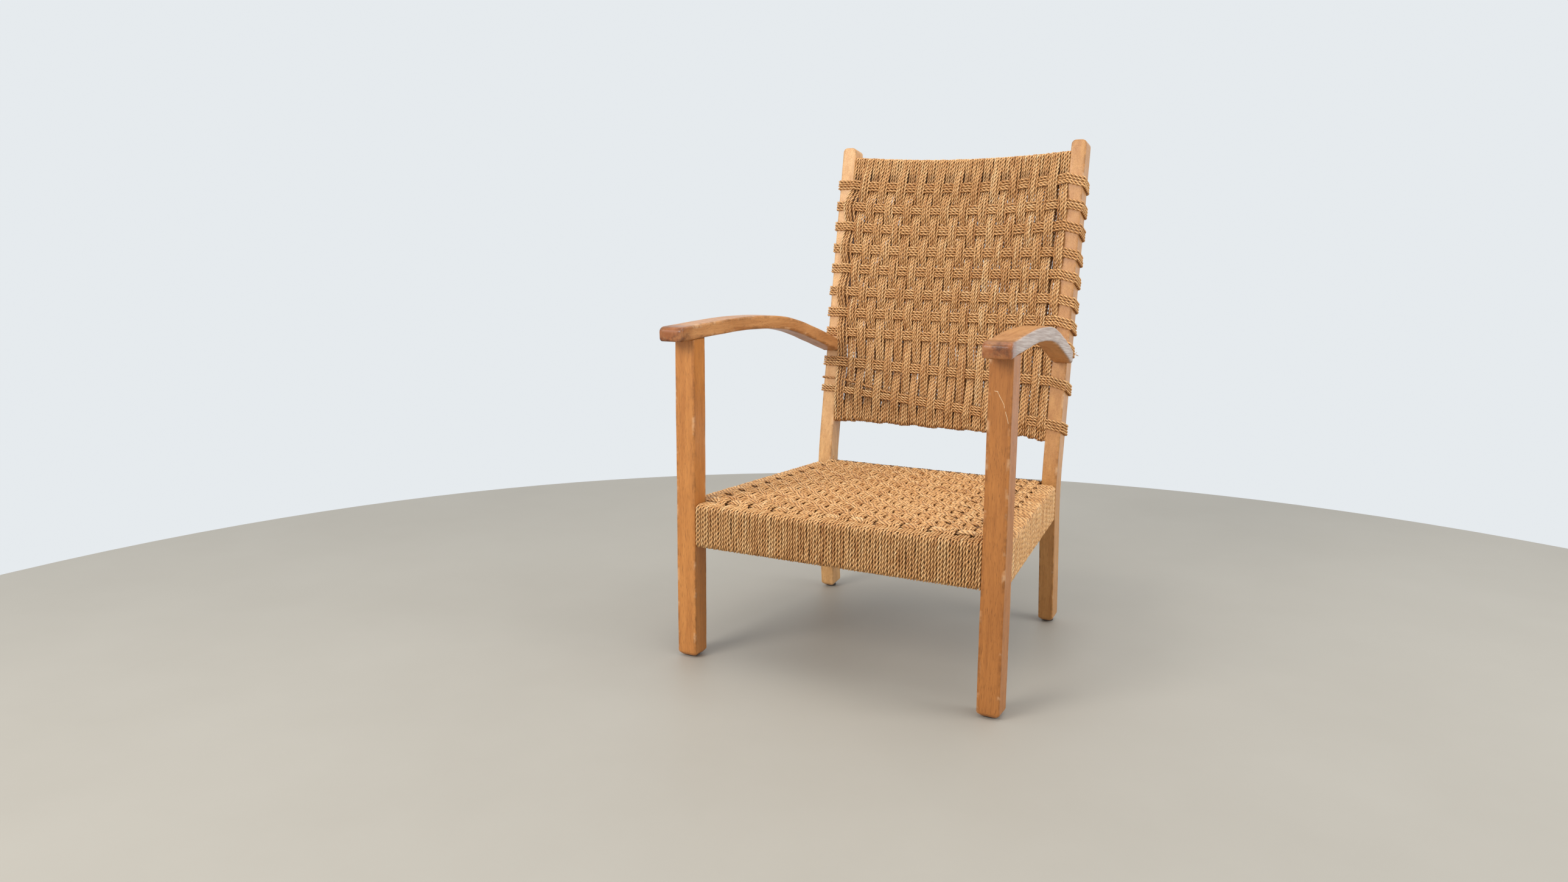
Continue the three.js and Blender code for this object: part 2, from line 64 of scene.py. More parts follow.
LEG_LOW, LEG_HIGH = box_mm("front_leg_left")
POST_LOW, POST_HIGH = box_mm("back_post_left")
ARM_FRONT = box_mm("armrest_left")[0][1]

KNEE = np.array([474.3, 272.8])          # Y, Z where a post's straight runs meet
LEAN = math.radians(9.5)
FOOT_RAKE = math.radians(6.0)
KNEE_REACH = 70.0                        # the bend is rounded off over this length to each side
POST_DEPTH = 38.0
POST_INNER, POST_OUTER = POST_LOW[0], POST_HIGH[0]
POST_FACE_Y = 480.0                      # where the side rails meet the posts

CORD_RADIUS = 2.6                        # half the place that a cord takes beside others
SEAT_CORD_RADIUS = 2.75                  # over the lobes of its two strands
BACK_CORD_RADIUS = 2.8                   # wound a little looser, so its strands lie wider
TWIST = 17.0                             # one whole turn of the two strands
SECTION = 8                              # points round a cord
STEP = 2.2                               # along a cord where it shows
HIDDEN_STEP = 2.9                        # under the seat and behind the back
GROUP = 4                                # cords that run side by side

SEAT_TOP = 283.8                         # middle of a cord on the rails
SEAT_BOTTOM = 208.7
SEAT_FRONT, SEAT_REAR = CORD_RADIUS - 0.1, 511.6
FILLER_REAR = 30.2                       # fillers turn back behind the front rail
# rounding of a cord's path: at the front and rear seat rails, the other rails, the posts
SEAT_ROUNDING, RAIL_ROUNDING, POST_ROUNDING = 8.0, 6.0, 4.5
SEAT_SAG, SAG_HALF, SAG_Y = 3.0, 235.0, 260.0  # depth, half its extent each way, and middle
CROSSING = 2.65                          # half the distance between crossing cords

WARP_GROUPS = 22                         # seat, front to back
WARP_PITCH = 5.2
FILLERS = 12                             # turns on the front rail only
FRONT_HALF, REAR_HALF = 259.4, 219.4     # outermost cords at the front and back rail
OUTSIDE = 24.0                           # a group's width beyond the outermost cord
WEFT_GROUPS = 21                         # seat, side to side
SEAT_HALF = 285                          # half width, about halfway back
WEFT_MIDDLE = (31.5, 5.33)               # first cord and pitch, middle of the seat
WEFT_SIDE = (41.3, 5.2)                  # the same at the side rails

BACK_GROUPS = 23
PANEL_LOW, PANEL_HIGH = 105.4, 655.6     # middle of the cords, measured up the posts
SET_BACK = 22.0
TOP_DIP = 5.0
FRONT_RAIL_N, REAR_RAIL_N = 3.3, 30.9
FRONT_MIDDLE_N, REAR_MIDDLE_N = 0.6, 33.6
POST_CORD_N = -2.8                       # cord lying on the front of a post
POST_REAR_N = 40.9
# height above the floor of each row at the sitter's right post and left post, and its sag
ROWS = [(862.7, 867, 7.5), (819, 820, 7.5), (777, 778, 7), (732, 728, 2), (690, 686, 1.5), (643, 639, 0.5),
        (599, 597, 0), (558, 555, 0), (496.5, 482, 0), (442, 401, 0)]
STRAY_CORD_RISE = 12.0                   # the loose upper cord of the last row
PANEL_MIDDLE = 380.0                     # the same measure, halfway
POST_MIDDLE_X = 226.0                    # the drop from row to row is taken here


def to_t(z):
    return (z - KNEE[1]) / math.cos(LEAN)


# ------------------------ meshes
def mesh_object(name, points_mm, faces, attributes):
    """faces is an n x 4 array; attributes maps a name to one value or one vector per point."""
    co = np.asarray(points_mm, float) * MM
    co[:, 1] += FRONT_Y
    mesh = bpy.data.meshes.new(name)
    mesh.vertices.add(len(co))
    mesh.vertices.foreach_set("co", co.astype(np.float32).ravel())
    mesh.loops.add(faces.size)
    mesh.loops.foreach_set("vertex_index", faces.astype(np.int32).ravel())
    mesh.polygons.add(len(faces))
    mesh.polygons.foreach_set("loop_start", np.arange(0, faces.size, 4, dtype=np.int32))
    mesh.update(calc_edges=True)
    mesh.validate()
    mesh.shade_smooth()
    for key, values in attributes.items():
        values = np.asarray(values, np.float32)
        kind = "FLOAT_VECTOR" if values.ndim == 2 else "FLOAT"
        layer = mesh.attributes.new(key, kind, "POINT")
        layer.data.foreach_set("vector" if values.ndim == 2 else "value", values.ravel())
    obj = bpy.data.objects.new(name, mesh)
    bpy.context.scene.collection.objects.link(obj)
    return obj


def smooth_step(v, low, high):
    f = np.clip((v - low) / (high - low), 0, 1)
    return f * f * (3 - 2 * f)


def unit(v):
    return v / np.linalg.norm(v, axis=-1, keepdims=True)


# ------------------------ twisted cord
LOBE = 0.37                              # how far a strand's middle lies from the cord's
NESTLE, DRIFT = 1.3, 0.4                 # step of the twist from cord to cord, so that they lie close
twist_start = 0.0


def section():
    angle = 2 * np.pi * np.arange(SECTION) / SECTION
    along = np.abs(np.cos(angle))
    return angle, LOBE * along + np.sqrt((1 - LOBE) ** 2 - (LOBE * np.sin(angle)) ** 2)


def wander(share, size, waves=(3, 24)):
    """Smooth random offset along a cord; share runs from 0 to 1 and the ends agree."""
    total = np.zeros_like(share)
    for _ in range(4):
        total += rng.normal() * np.sin(2 * np.pi * (rng.integers(*waves) * share + rng.random()))
    return total * size / 2


def cord(path, across, closed=True, radius=SEAT_CORD_RADIUS, loose=0.35, shade=None):
    """Points, faces and attributes of one twisted cord along a path; across is a fixed direction and
    shade, 0 to 1 along the path, is painted shade that darkens it where it dives under others or lies in a
    slot."""
    global twist_start
    path = np.asarray(path, float)
    if closed:
        ahead, behind = np.roll(path, -1, 0), np.roll(path, 1, 0)
        tangent = unit(ahead - behind)
        step = np.linalg.norm(ahead - path, axis=1)
    else:
        tangent = unit(np.gradient(path, axis=0))
        step = np.append(np.linalg.norm(np.diff(path, axis=0), axis=1), 0)
    run = np.concatenate([[0], np.cumsum(step)[:-1]])
    length = step.sum()
    side = unit(across - (tangent @ across)[:, None] * tangent)
    out = np.cross(side, tangent)
    share = run / length
    path = path + side * wander(share, loose)[:, None] + out * wander(share, loose * 0.6)[:, None]
    turns = max(1, round(length / TWIST)) if closed else length / TWIST
    twist_start += NESTLE + rng.normal() * DRIFT
    spin = twist_start + 2 * np.pi * turns * share + wander(share, 0.35, (2, 12))
    angle, reach = section()
    thick = radius * (1 + wander(share, 0.035, (5, 60)))
    if not closed:
        taper = np.ones(len(path))
        taper[[0, -1]] = 0.55
        thick = thick * taper
    a = angle[None, :] + spin[:, None]
    r = reach[None, :] * thick[:, None]
    points = path[:, None, :] + (np.cos(a) * r)[..., None] * out[:, None, :] \
        + (np.sin(a) * r)[..., None] * side[:, None, :]
    count = len(path)
    i = np.arange(count if closed else count - 1)[:, None] * SECTION
    j = np.arange(SECTION)[None, :]
    k = (j + 1) % SECTION
    nxt = (i + SECTION) % (count * SECTION)
    faces = np.stack([i + j, i + k, nxt + k, nxt + j], -1).reshape(-1, 4)
    if not closed:
        cap = np.array([[0, 7, 2, 1], [7, 6, 3, 2], [6, 5, 4, 3]])
        faces = np.concatenate([faces, cap, cap[:, ::-1] + (count - 1) * SECTION])
    lay = np.empty((count, SECTION, 3))
    lay[..., 0] = run[:, None] + rng.uniform(0, 5000)
    lay[..., 1] = np.cos(angle) * CORD_RADIUS
    lay[..., 2] = np.sin(angle) * CORD_RADIUS
    strand = np.where(np.cos(angle) > 0.1, 1.0, np.where(np.cos(angle) < -0.1, -1.0, 0.0))
    tone = np.clip(0.5 + rng.normal() * 0.13 + rng.normal() * 0.06 * strand[None, :]
                   + wander(share, 0.14)[:, None], 0, 1)
    # painted shade: the colour darkens in the grooves between the two strands
    painted_shade = np.broadcast_to(1 - (reach - reach.min()) / (reach.max() - reach.min()), (count, SECTION))
    if shade is not None:
        painted_shade = np.maximum(painted_shade, shade[:, None])
    return (points.reshape(-1, 3), faces, lay.reshape(-1, 3) * MM, tone.ravel(), painted_shade.ravel())


def cord_piece(name, cords, nodes, material):
    """One mesh object out of several cords."""
    start = np.cumsum([0] + [len(c[0]) for c in cords])
    points = np.concatenate([c[0] for c in cords])
    faces = np.concatenate([c[1] + s for c, s in zip(cords, start)])
    obj = mesh_object(name, points, faces, {
        "lay": np.concatenate([c[2] for c in cords]),
        "tone": np.concatenate([c[3] for c in cords]),
        "painted_shade": np.concatenate([c[4] for c in cords])})
    obj.data.materials.append(material)
    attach(obj, "root")
    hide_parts(*nodes)


def ring(a0, a1, b0, b1, radius, steps):
    """Rounded rectangle a0..a1 by b0..b1 as points and outward normals. It starts on the b0 side, runs
    towards a1, and goes on round by b1. steps: spacing on the b0, a1, b1 and a0 sides."""
    corners = [((a0, b0), (a1, b0)), ((a1, b0), (a1, b1)), ((a1, b1), (a0, b1)), ((a0, b1), (a0, b0))]
    points, normals = [], []
    for (p, q), step in zip(corners, steps):
        p, q = np.array(p, float), np.array(q, float)
        along = unit(q - p)
        normal = np.array([along[1], -along[0]])
        n = max(2, int((np.linalg.norm(q - p) - 2 * radius) / step))
        s = np.linspace(0, 1, n, endpoint=False)[:, None]
        points.append(p + along * radius + s * (q - p - 2 * radius * along))
        normals.append(np.repeat(normal[None], n, 0))
        m = max(4, int(radius * 1.57 / step))
        turn = np.linspace(0, np.pi / 2, m, endpoint=False)[:, None]
        outward = np.cos(turn) * normal + np.sin(turn) * along
        points.append(q - along * radius - normal * radius + outward * radius)
        normals.append(outward)
    return np.concatenate(points), np.concatenate(normals)


STEP_SOFTNESS = 0.18
CROWN, SHOULDER = 0.62, 0.30             # a float's middle cords lie higher, its outer ones lower
DEEP = 0.22                              # and all of them sink a little where they go under
PINCH = 0.72                             # a float's cords press together
FRONT_PRESS = 0.45                       # the first group lies flatter behind the front rail
# side groups draw apart two by two and leave slots: distance from the edge, half length, and how far
# each group moves aside
SLOTS = [(56.0, 19.0, 3.6), (112.0, 11.0, 2.6)]
SLOT_SHADE = (0.9, 2.4)                  # between these moves the cord at the back of a slot takes a painted shadow
SLOT_SINK = 1.6                          # and lies this much lower
# from where to where the seat's weave and its painted shade set in: Y at the front and rear, distance from a
# side
WEAVE_FRONT, WEAVE_REAR, WEAVE_SIDE = (18, 48), (470, 500), (6, 26)
SHADE_FRONT, SHADE_SIDE = (26, 40), (30, 44)
PRESSED = (34, 62)                       # Y from where to where the front rail's press fades


def weave(u, signs, outside):
    """+1 over, -1 under, along a cord that crosses groups; u counts them from 0 and steps softly
    between neighbours that differ."""
    padded = np.concatenate([[outside], signs, [outside]])
    k = np.floor(u).astype(int)
    f = u - k

    def at(i):
        return padded[np.clip(i + 1, 0, len(signs) + 1)]

    here, near = at(k), np.where(f < 0.5, at(k - 1), at(k + 1))
    rise = np.sin(np.pi * f)
    rise = rise * math.sqrt(1 + STEP_SOFTNESS) / np.sqrt(rise ** 2 + STEP_SOFTNESS)
    return np.where(here == near, here, here * rise)


def painted_under_shade(over):
    """Painted shade of a cord from its lift: its colour darkens where it goes under others."""
    return 0.85 * smooth_step(-over, -0.35, 0.45)


def arch(k, over):
    """Floats bulge: the outer cords of a group lie lower than its middle ones."""
    outer = abs(k % GROUP - 1.5) > 1
    return over * np.where(over > 0, 1 - SHOULDER if outer else 1 + CROWN, 1 + DEEP)


def alternate(count, first):
    return first * (1 - 2 * (np.arange(count) % 2))


# ------------------------ seat
def seat_front_slots():
    """Where the cords of each group and the fillers lie on the front rail."""
    order = []
    for g in range(WARP_GROUPS):
        order += [g] * GROUP
        if (g + 1) * FILLERS // (WARP_GROUPS - 1) > g * FILLERS // (WARP_GROUPS - 1):
            order.append(-1)
    order = np.array(order[:WARP_GROUPS * GROUP + FILLERS])
    x = np.linspace(-FRONT_HALF, FRONT_HALF, len(order))
    return x[order >= 0], x[order < 0]


WARP_FRONT_X, FILLER_X = seat_front_slots()
WARP_REAR_X = np.linspace(-REAR_HALF, REAR_HALF, WARP_GROUPS * GROUP)


def warp_x(y):
    """X of every front-to-back cord at one Y."""
    f = np.clip(np.asarray(y, float) / SEAT_REAR, 0, 1)[..., None]
    return WARP_FRONT_X + (WARP_REAR_X - WARP_FRONT_X) * f


def warp_edges(y):
    """X between the groups at one Y, with one more edge outside the weave on each side."""
    x = warp_x(y)
    inner = (x[..., GROUP - 1:-1:GROUP] + x[..., GROUP::GROUP]) / 2
    return np.concatenate([x[..., :1] - OUTSIDE, x[..., :1] - CORD_RADIUS, inner, x[..., -1:] + CORD_RADIUS,
                           x[..., -1:] + OUTSIDE], -1)


def side_x(y):
    """Middle of a cord on the outer face of a side rail."""
    f = (y - LEG_HIGH[1]) / (POST_FACE_Y - LEG_HIGH[1])
    return LEG_HIGH[0] - CORD_RADIUS - 0.1 - f * (LEG_HIGH[0] - POST_OUTER)


def weft_y(k, x):
    """Y of side-to-side cord k: against the leg at the sides, further forward in the middle."""
    bow = np.clip((np.asarray(x) / SEAT_HALF) ** 2, 0, 1)
    first = WEFT_MIDDLE[0] + (WEFT_SIDE[0] - WEFT_MIDDLE[0]) * bow
    pitch = WEFT_MIDDLE[1] + (WEFT_SIDE[1] - WEFT_MIDDLE[1]) * bow
    return first + pitch * k, first, pitch


def pinched(k, middle, pitch):
    """Place of cord k when its group has drawn together round its middle."""
    return middle + (k % GROUP - 1.5) * pitch * PINCH


def seat_sag(x, y):
    """How much lower the seat lies than at its rails."""
    across, along = (x / SAG_HALF) ** 2, ((y - SAG_Y) / SAG_HALF) ** 2
    return SEAT_SAG * np.clip(1 - across, 0, 1) * np.clip(1 - along, 0, 1)


def seat_warp(k):
    yz, normal = ring(SEAT_FRONT, SEAT_REAR, SEAT_BOTTOM, SEAT_TOP, SEAT_ROUNDING,
                      (HIDDEN_STEP, STEP, STEP, STEP))
    y, z = yz[:, 0], yz[:, 1]
    top = np.clip(normal[:, 1], 0, 1)
    low = np.clip(-normal[:, 1], 0, 1)
    group = k // GROUP
    along = y / SEAT_REAR
    x = WARP_FRONT_X[k] + (WARP_REAR_X[k] - WARP_FRONT_X[k]) * along
    mates = slice(group * GROUP, group * GROUP + GROUP)
    middle = WARP_FRONT_X[mates].mean() * (1 - along) + WARP_REAR_X[mates].mean() * along
    inside = smooth_step(y, *WEAVE_FRONT) * (1 - smooth_step(y, *WEAVE_REAR)) * top
    x = x + (pinched(k, middle, WARP_PITCH) - x) * inside
    _, first, pitch = weft_y(0, x)
    u = ((y - first) / pitch + 0.5) / GROUP
    # side-to-side cords lie over group 0 in the first row, then turn about
    over = weave(u, alternate(WEFT_GROUPS, -1 if group % 2 == 0 else 1), -1)
    under = weave(u, alternate(WEFT_GROUPS, -1 if group % 2 == 0 else 1), 1)
    z = z + top * ((arch(k, over) + 1) * CROSSING - seat_sag(x, y)) + low * ((1 - under) * CROSSING)
    # painted shade where this cord dives under the side-to-side cords
    return cord(np.stack([x, y, z], 1), X_AXIS, shade=painted_under_shade(over) * top * smooth_step(y, *SHADE_FRONT))


def seat_weft(k):
    side = float(side_x(weft_y(k, SEAT_HALF)[0]))
    xz, normal = ring(-side, side, SEAT_BOTTOM + 2 * CROSSING + 0.4, SEAT_TOP, RAIL_ROUNDING,
                      (HIDDEN_STEP, STEP, STEP, STEP))
    x, z = xz[:, 0], xz[:, 1]
    top = np.clip(normal[:, 1], 0, 1)
    low = np.clip(-normal[:, 1], 0, 1)
    row = k // GROUP
    y, _, pitch = weft_y(k, x)
    middle = weft_y(row * GROUP + 1.5, x)[0]
    slot = sum(move * np.exp(-((side - np.abs(x) - edge) / half) ** 2) for edge, half, move in SLOTS)
    middle = middle + slot * (-1 if row % 2 else 1) * (0 < row < WEFT_GROUPS - 1)
    inside = smooth_step(side - np.abs(x), *WEAVE_SIDE) * top
    y = y + (pinched(k, middle, pitch) - y) * inside
    edges = warp_edges(y)
    u = np.array([np.interp(xi, e, np.arange(-1, WARP_GROUPS + 2)) for xi, e in zip(x, edges)])
    over = weave(u, alternate(WARP_GROUPS, 1 if row % 2 == 0 else -1), -1)
    height = (arch(k, over) + 1) * CROSSING * (1 - FRONT_PRESS * (1 - smooth_step(y, *PRESSED)))
    z = z + top * (height - seat_sag(x, y)) - low * ((over + 1) * CROSSING)
    # painted shade where this cord dives under the front-to-back cords
    shadow = painted_under_shade(over) * smooth_step(side - np.abs(x), *SHADE_SIDE)
    # painted shadow: the front cord of a slot's back row is darkened along the slot, and sunk a little
    if row % 2 == 0 and row > 0 and k % GROUP == 0:
        shadow = np.maximum(shadow, smooth_step(slot, *SLOT_SHADE))
        z = z - SLOT_SINK * smooth_step(slot, *SLOT_SHADE) * top
    return cord(np.stack([x, y, z], 1), Y_AXIS, shade=shadow * top)


def seat_filler(x):
    yz, _ = ring(SEAT_FRONT, FILLER_REAR, SEAT_BOTTOM, SEAT_TOP, SEAT_ROUNDING,
                 (HIDDEN_STEP, HIDDEN_STEP, STEP, STEP))
    path = np.stack([np.full(len(yz), x), yz[:, 0], yz[:, 1]], 1)
    return cord(path, X_AXIS)


# ------------------------ back
UP = np.array([0, math.sin(LEAN), math.cos(LEAN)])
BACKWARDS = np.array([0, math.cos(LEAN), -math.sin(LEAN)])
KNEE_POINT = np.array([0, KNEE[0], KNEE[1]])


def from_panel(x, n, t):
    """Layout point from across x, depth n behind the posts' front face and height t up the posts."""
    return KNEE_POINT + x[:, None] * X_AXIS + n[:, None] * BACKWARDS + t[:, None] * UP


def bow(x):
    return np.clip(1 - (np.asarray(x, float) / POST_INNER) ** 2, 0, 1)


def row_t(m, x):
    """Height of row m (from 0) across the panel."""
    right, left, droop = ROWS[m]
    f = np.clip((np.asarray(x, float) + POST_INNER) / (2 * POST_INNER), 0, 1)
    return to_t(right + (left - right) * f) - droop * bow(x)


SPLAY_T = to_t(np.array([440.0, 496, 558, 599, 643, 690, 732, 777, 819, 862, 905]))
# how far the first group has slid out over the post, and how far its cords spread, at those heights
SPLAY_X = np.array([0.0, 1.5, 5, 8, 12, 9, 13, 9, 13, 1, 0])
SPLAY_PITCH = np.array([4.8, 4.8, 5.0, 5.4, 6.5, 5.6, 6.6, 5.4, 6.5, 4.9, 4.7])
SHIFT_T = to_t(np.array([482.0, 558, 599, 819, 862, 922]))
SHIFT = np.array([0.0, 0.5, 1, 1, 0.45, 0])  # share of the sideways shift of the middle part
# middle of the first upright group and pitch of the groups: at the low rail, the top rail and between
LOW_X, TOP_X, BETWEEN_X = (-216.5, 19.7), (-216.0, 19.62), (-225.4, 20.02)
LAST_BETWEEN_X = 219.5                   # the last group leans on the post
UPRIGHT_WIDTH, UPRIGHT_HALF = 20.0, 10.5
LOW_END, TOP_START = 150, 560            # heights between which the rails' spacing changes over


def group_x(g, t):
    """Middle of upright group g (from 0) at height t."""
    high = smooth_step(t, LOW_END, TOP_START)
    ends = (LOW_X[0] + LOW_X[1] * g) * (1 - high) + (TOP_X[0] + TOP_X[1] * g) * high
    if g == 0:
        return ends - np.interp(t, SPLAY_T, SPLAY_X)
    middle = LAST_BETWEEN_X if g == BACK_GROUPS - 1 else BETWEEN_X[0] + BETWEEN_X[1] * g
    return ends + (middle - ends) * np.interp(t, SHIFT_T, SHIFT)


def group_edges(t):
    """X between the upright groups at one height, with one more edge outside them on each side."""
    middle = np.array([group_x(g, t) for g in range(BACK_GROUPS)])
    inner = (middle[1:] + middle[:-1]) / 2
    first = middle[0] - 2 * np.interp(t, SPLAY_T, SPLAY_PITCH) - 1
    last = middle[-1] + UPRIGHT_HALF
    return np.concatenate([[first - UPRIGHT_WIDTH], [first], inner, [last], [last + UPRIGHT_WIDTH]])


# distances from the middle between which cords climb on to a post: the right one, the left one, behind
RIGHT_CLIMB, LEFT_CLIMB, REAR_CLIMB = (212, 227), (216, 229), (214, 228)


def free_height(t):
    """0 at the two rails of the back, 1 where its cords stand free between them."""
    return np.interp(t, [PANEL_LOW + 12, 150, 600, PANEL_HIGH - 12], [0, 1, 1, 0])


def front_middle(x, t):
    """Depth halfway between crossing cords in front; it comes forward where they lie on a post."""
    on_post = smooth_step(-x, *RIGHT_CLIMB) + smooth_step(x, *LEFT_CLIMB)
    ahead = on_post * free_height(t) * (POST_CORD_N - CROSSING - FRONT_MIDDLE_N)
    return FRONT_MIDDLE_N + ahead + SET_BACK * bow(x)


def rear_middle(x, t):
    """The same behind, where the cords go back round the posts."""
    on_post = smooth_step(np.abs(x), *REAR_CLIMB)
    further = on_post * free_height(t) * (POST_REAR_N + CROSSING - REAR_MIDDLE_N)
    return REAR_MIDDLE_N + further + SET_BACK * bow(x)


def upright_lift(g, x, t, face):
    """+1 in front of a row, -1 behind it, easing from row to row. face is 1 in front, -1 at the rear."""
    centres = np.array([row_t(m, x) for m in range(len(ROWS))])[::-1]
    m = np.arange(len(ROWS))[::-1]
    signs = np.where((g + m) % 2 == 0, -1.0, 1.0) * face
    knots = [PANEL_LOW + 8]
    values = [-1.0]
    for c, s in zip(centres, signs):
        knots += [c - 7, c + 7]
        values += [s, s]
    knots.append(PANEL_HIGH - 16)
    values.append(-1.0)
    return np.sin(np.pi / 2 * np.interp(t, knots, values))


UPRIGHT_PITCH, ROW_PITCH = 4.78, 4.9
DRAWN_IN = 0.55                          # low down the groups draw together and leave dark slits
DRAWN_TO = (230, 330)                    # heights between which that ends
REAR_SHIFT = 4.0                         # so the rear cords stand behind the gaps
HANG = {0: 3.0, 19: 1.5, 20: 3.0, 21: 5.0, 22: 7.0}     # groups that hang lower at the bottom rail


def back_upright(g, c):
    dip = TOP_DIP * bow(group_x(g, PANEL_HIGH))
    hang = HANG.get(g, 0.0) + 1.2 * math.sin(2.1 * g) + rng.normal() * 0.5
    nt, normal = ring(FRONT_RAIL_N, REAR_RAIL_N, PANEL_LOW - hang, PANEL_HIGH - dip, RAIL_ROUNDING,
                      (STEP, HIDDEN_STEP, STEP, STEP))
    t = nt[:, 1]
    drawn = smooth_step(t, PANEL_LOW + 10, PANEL_LOW + 50) * (1 - smooth_step(t, *DRAWN_TO))
    pitch = np.interp(t, SPLAY_T, SPLAY_PITCH) if g == 0 else UPRIGHT_PITCH - DRAWN_IN * drawn
    x = group_x(g, t) + (c - 1.5) * pitch
    x = x + np.clip(normal[:, 0], 0, 1) * REAR_SHIFT * drawn
    x_mid = float(group_x(g, PANEL_MIDDLE))
    in_front = np.clip(-normal[:, 0], 0, 1)
    behind = np.clip(normal[:, 0], 0, 1)
    lift = upright_lift(g, x_mid, t, 1)
    n_front = front_middle(x, t) - CROSSING * arch(c, lift)
    n_rear = rear_middle(x, t) + CROSSING * upright_lift(g, x_mid, t, -1)
    n = nt[:, 0] + SET_BACK * bow(x)
    n = n + in_front * (n_front - FRONT_RAIL_N - SET_BACK * bow(x))
    n = n + behind * (n_rear - REAR_RAIL_N - SET_BACK * bow(x))
    woven = smooth_step(t, PANEL_LOW + 20, PANEL_LOW + 45) * smooth_step(PANEL_HIGH - t, 22, 40)
    # painted shade where an upright goes behind a row
    return cord(from_panel(x, n, t), X_AXIS, radius=BACK_CORD_RADIUS, loose=0.45,
                shade=0.55 * smooth_step(-lift, 0.75, 1.0) * in_front * woven)


WRAP_SHOWN = 45.0                        # a longer drop to the next row is all behind the post
LAST_DROP = 30.0
TURN_START_X, FRONT_END_X = 222.0, 224.0  # where a turn starts behind, and where it begins to fall
POST_FRONT_RUN, POST_SIDE_RUN = 30.0, 78.0  # across a post's front face, and on to its rear edge
FRONT_FALL, SIDE_FALL = 0.16, 0.36       # how much of the shown drop is reached at those two


def row_turn(m, c):
    """One turn of cord c of row m: along the back, level round the sitter's right post, across the front,
    and down round the other post to where the next row starts."""
    side = POST_OUTER + BACK_CORD_RADIUS
    xn, normal = ring(-side, side, POST_CORD_N, POST_REAR_N, POST_ROUNDING, (STEP, STEP, HIDDEN_STEP, STEP))
    start = int(np.argmin(np.hypot(xn[:, 0] - TURN_START_X, xn[:, 1] - POST_REAR_N)))
    xn, normal = np.roll(xn, -start, 0), np.roll(normal, -start, 0)
    x, n = xn[:, 0], xn[:, 1]
    rear = (normal[:, 1] > 0.5) & (np.abs(x) < 240)
    front = (normal[:, 1] < -0.5) & (np.abs(x) < 246)
    offset = (1.5 - c) * ROW_PITCH
    t = row_t(m, x) + offset
    # the last stretch, from the front of the sitter's left post to behind it, slopes down to the next row
    front_end = int(np.argmin(np.hypot(x - FRONT_END_X, n - POST_CORD_N)))
    run = np.concatenate([[0], np.cumsum(np.hypot(np.diff(x), np.diff(n)))])
    here = row_t(m, POST_MIDDLE_X)
    drop = here - row_t(m + 1, POST_MIDDLE_X) if m + 1 < len(ROWS) else LAST_DROP
    shown = min(drop, WRAP_SHOWN)
    knots = run[front_end] + np.array([0, POST_FRONT_RUN, POST_SIDE_RUN, run[-1] - run[front_end]])
    down = np.interp(run, knots, [0, FRONT_FALL * shown / drop, SIDE_FALL * shown / drop, 1])
    t = t - down * drop + np.sin(np.pi * down) * offset * 0.12
    if m == len(ROWS) - 1 and c == 0:
        t = t + STRAY_CORD_RISE * smooth_step(-x, 100, 225) * (1 - down)
    u = np.array([np.interp(xi, group_edges(float(ti)), np.arange(-1, BACK_GROUPS + 2))
                  for xi, ti in zip(x, row_t(m, x))])
    over = weave(u, alternate(BACK_GROUPS, 1 if m % 2 == 0 else -1), -1)
    over_rear = weave(u, alternate(BACK_GROUPS, -1 if m % 2 == 0 else 1), -1)
    n = np.where(front, front_middle(x, PANEL_MIDDLE) - CROSSING * over, n)
    n = np.where(rear, rear_middle(x, PANEL_MIDDLE) + CROSSING * over_rear, n)
    return from_panel(x, n, t)


def back_rows(material):
    """Four cords, each wound as one long spiral, cut into one piece per row."""
    turns = [[row_turn(m, c) for m in range(len(ROWS))] for c in range(GROUP)]
    counts = [len(t) for t in turns[0]]
    starts = np.cumsum([0] + counts)
    whole = [cord(np.concatenate(t), UP, closed=False, loose=0.5) for t in turns]
    for m in range(len(ROWS)):
        pieces = []
        for points, faces, lay, tone, painted_shade in whole:
            low = starts[m] * SECTION
            high = min((starts[m + 1] + 1) * SECTION, len(points))
            inside = ((faces >= low) & (faces < high)).all(1)
            pieces.append((points[low:high], faces[inside] - low, lay[low:high], tone[low:high],
                           painted_shade[low:high]))
        cord_piece(f"back_row_{m + 1:02d}", pieces, [f"back_cord_row_{m + 1:02d}"], material)


# ------------------------ loose ends
# cord ends that stand out of the weave: radius and points in the layout
LOOSE_ENDS = {
    "frayed": (0.9, [(258, 545, 530.5), (261, 554, 531), (265, 565, 527.5)]),
    "frayed_short": (0.6, [(258, 548, 530), (261, 556, 533.5), (263, 560, 534.5)]),
    "seat_stub": (1.1, [(-219.3, 478, 288), (-218.6, 478.4, 294), (-217.4, 478, 299.6)]),
}


def loose_end(key):
    radius, points = LOOSE_ENDS[key]
    path = spline(points, 6)
    return cord(path, np.array([0.3, 0.2, 0.9]), closed=False, radius=radius, loose=0.05)


# ------------------------ wooden members
CORNER_POINTS = 5


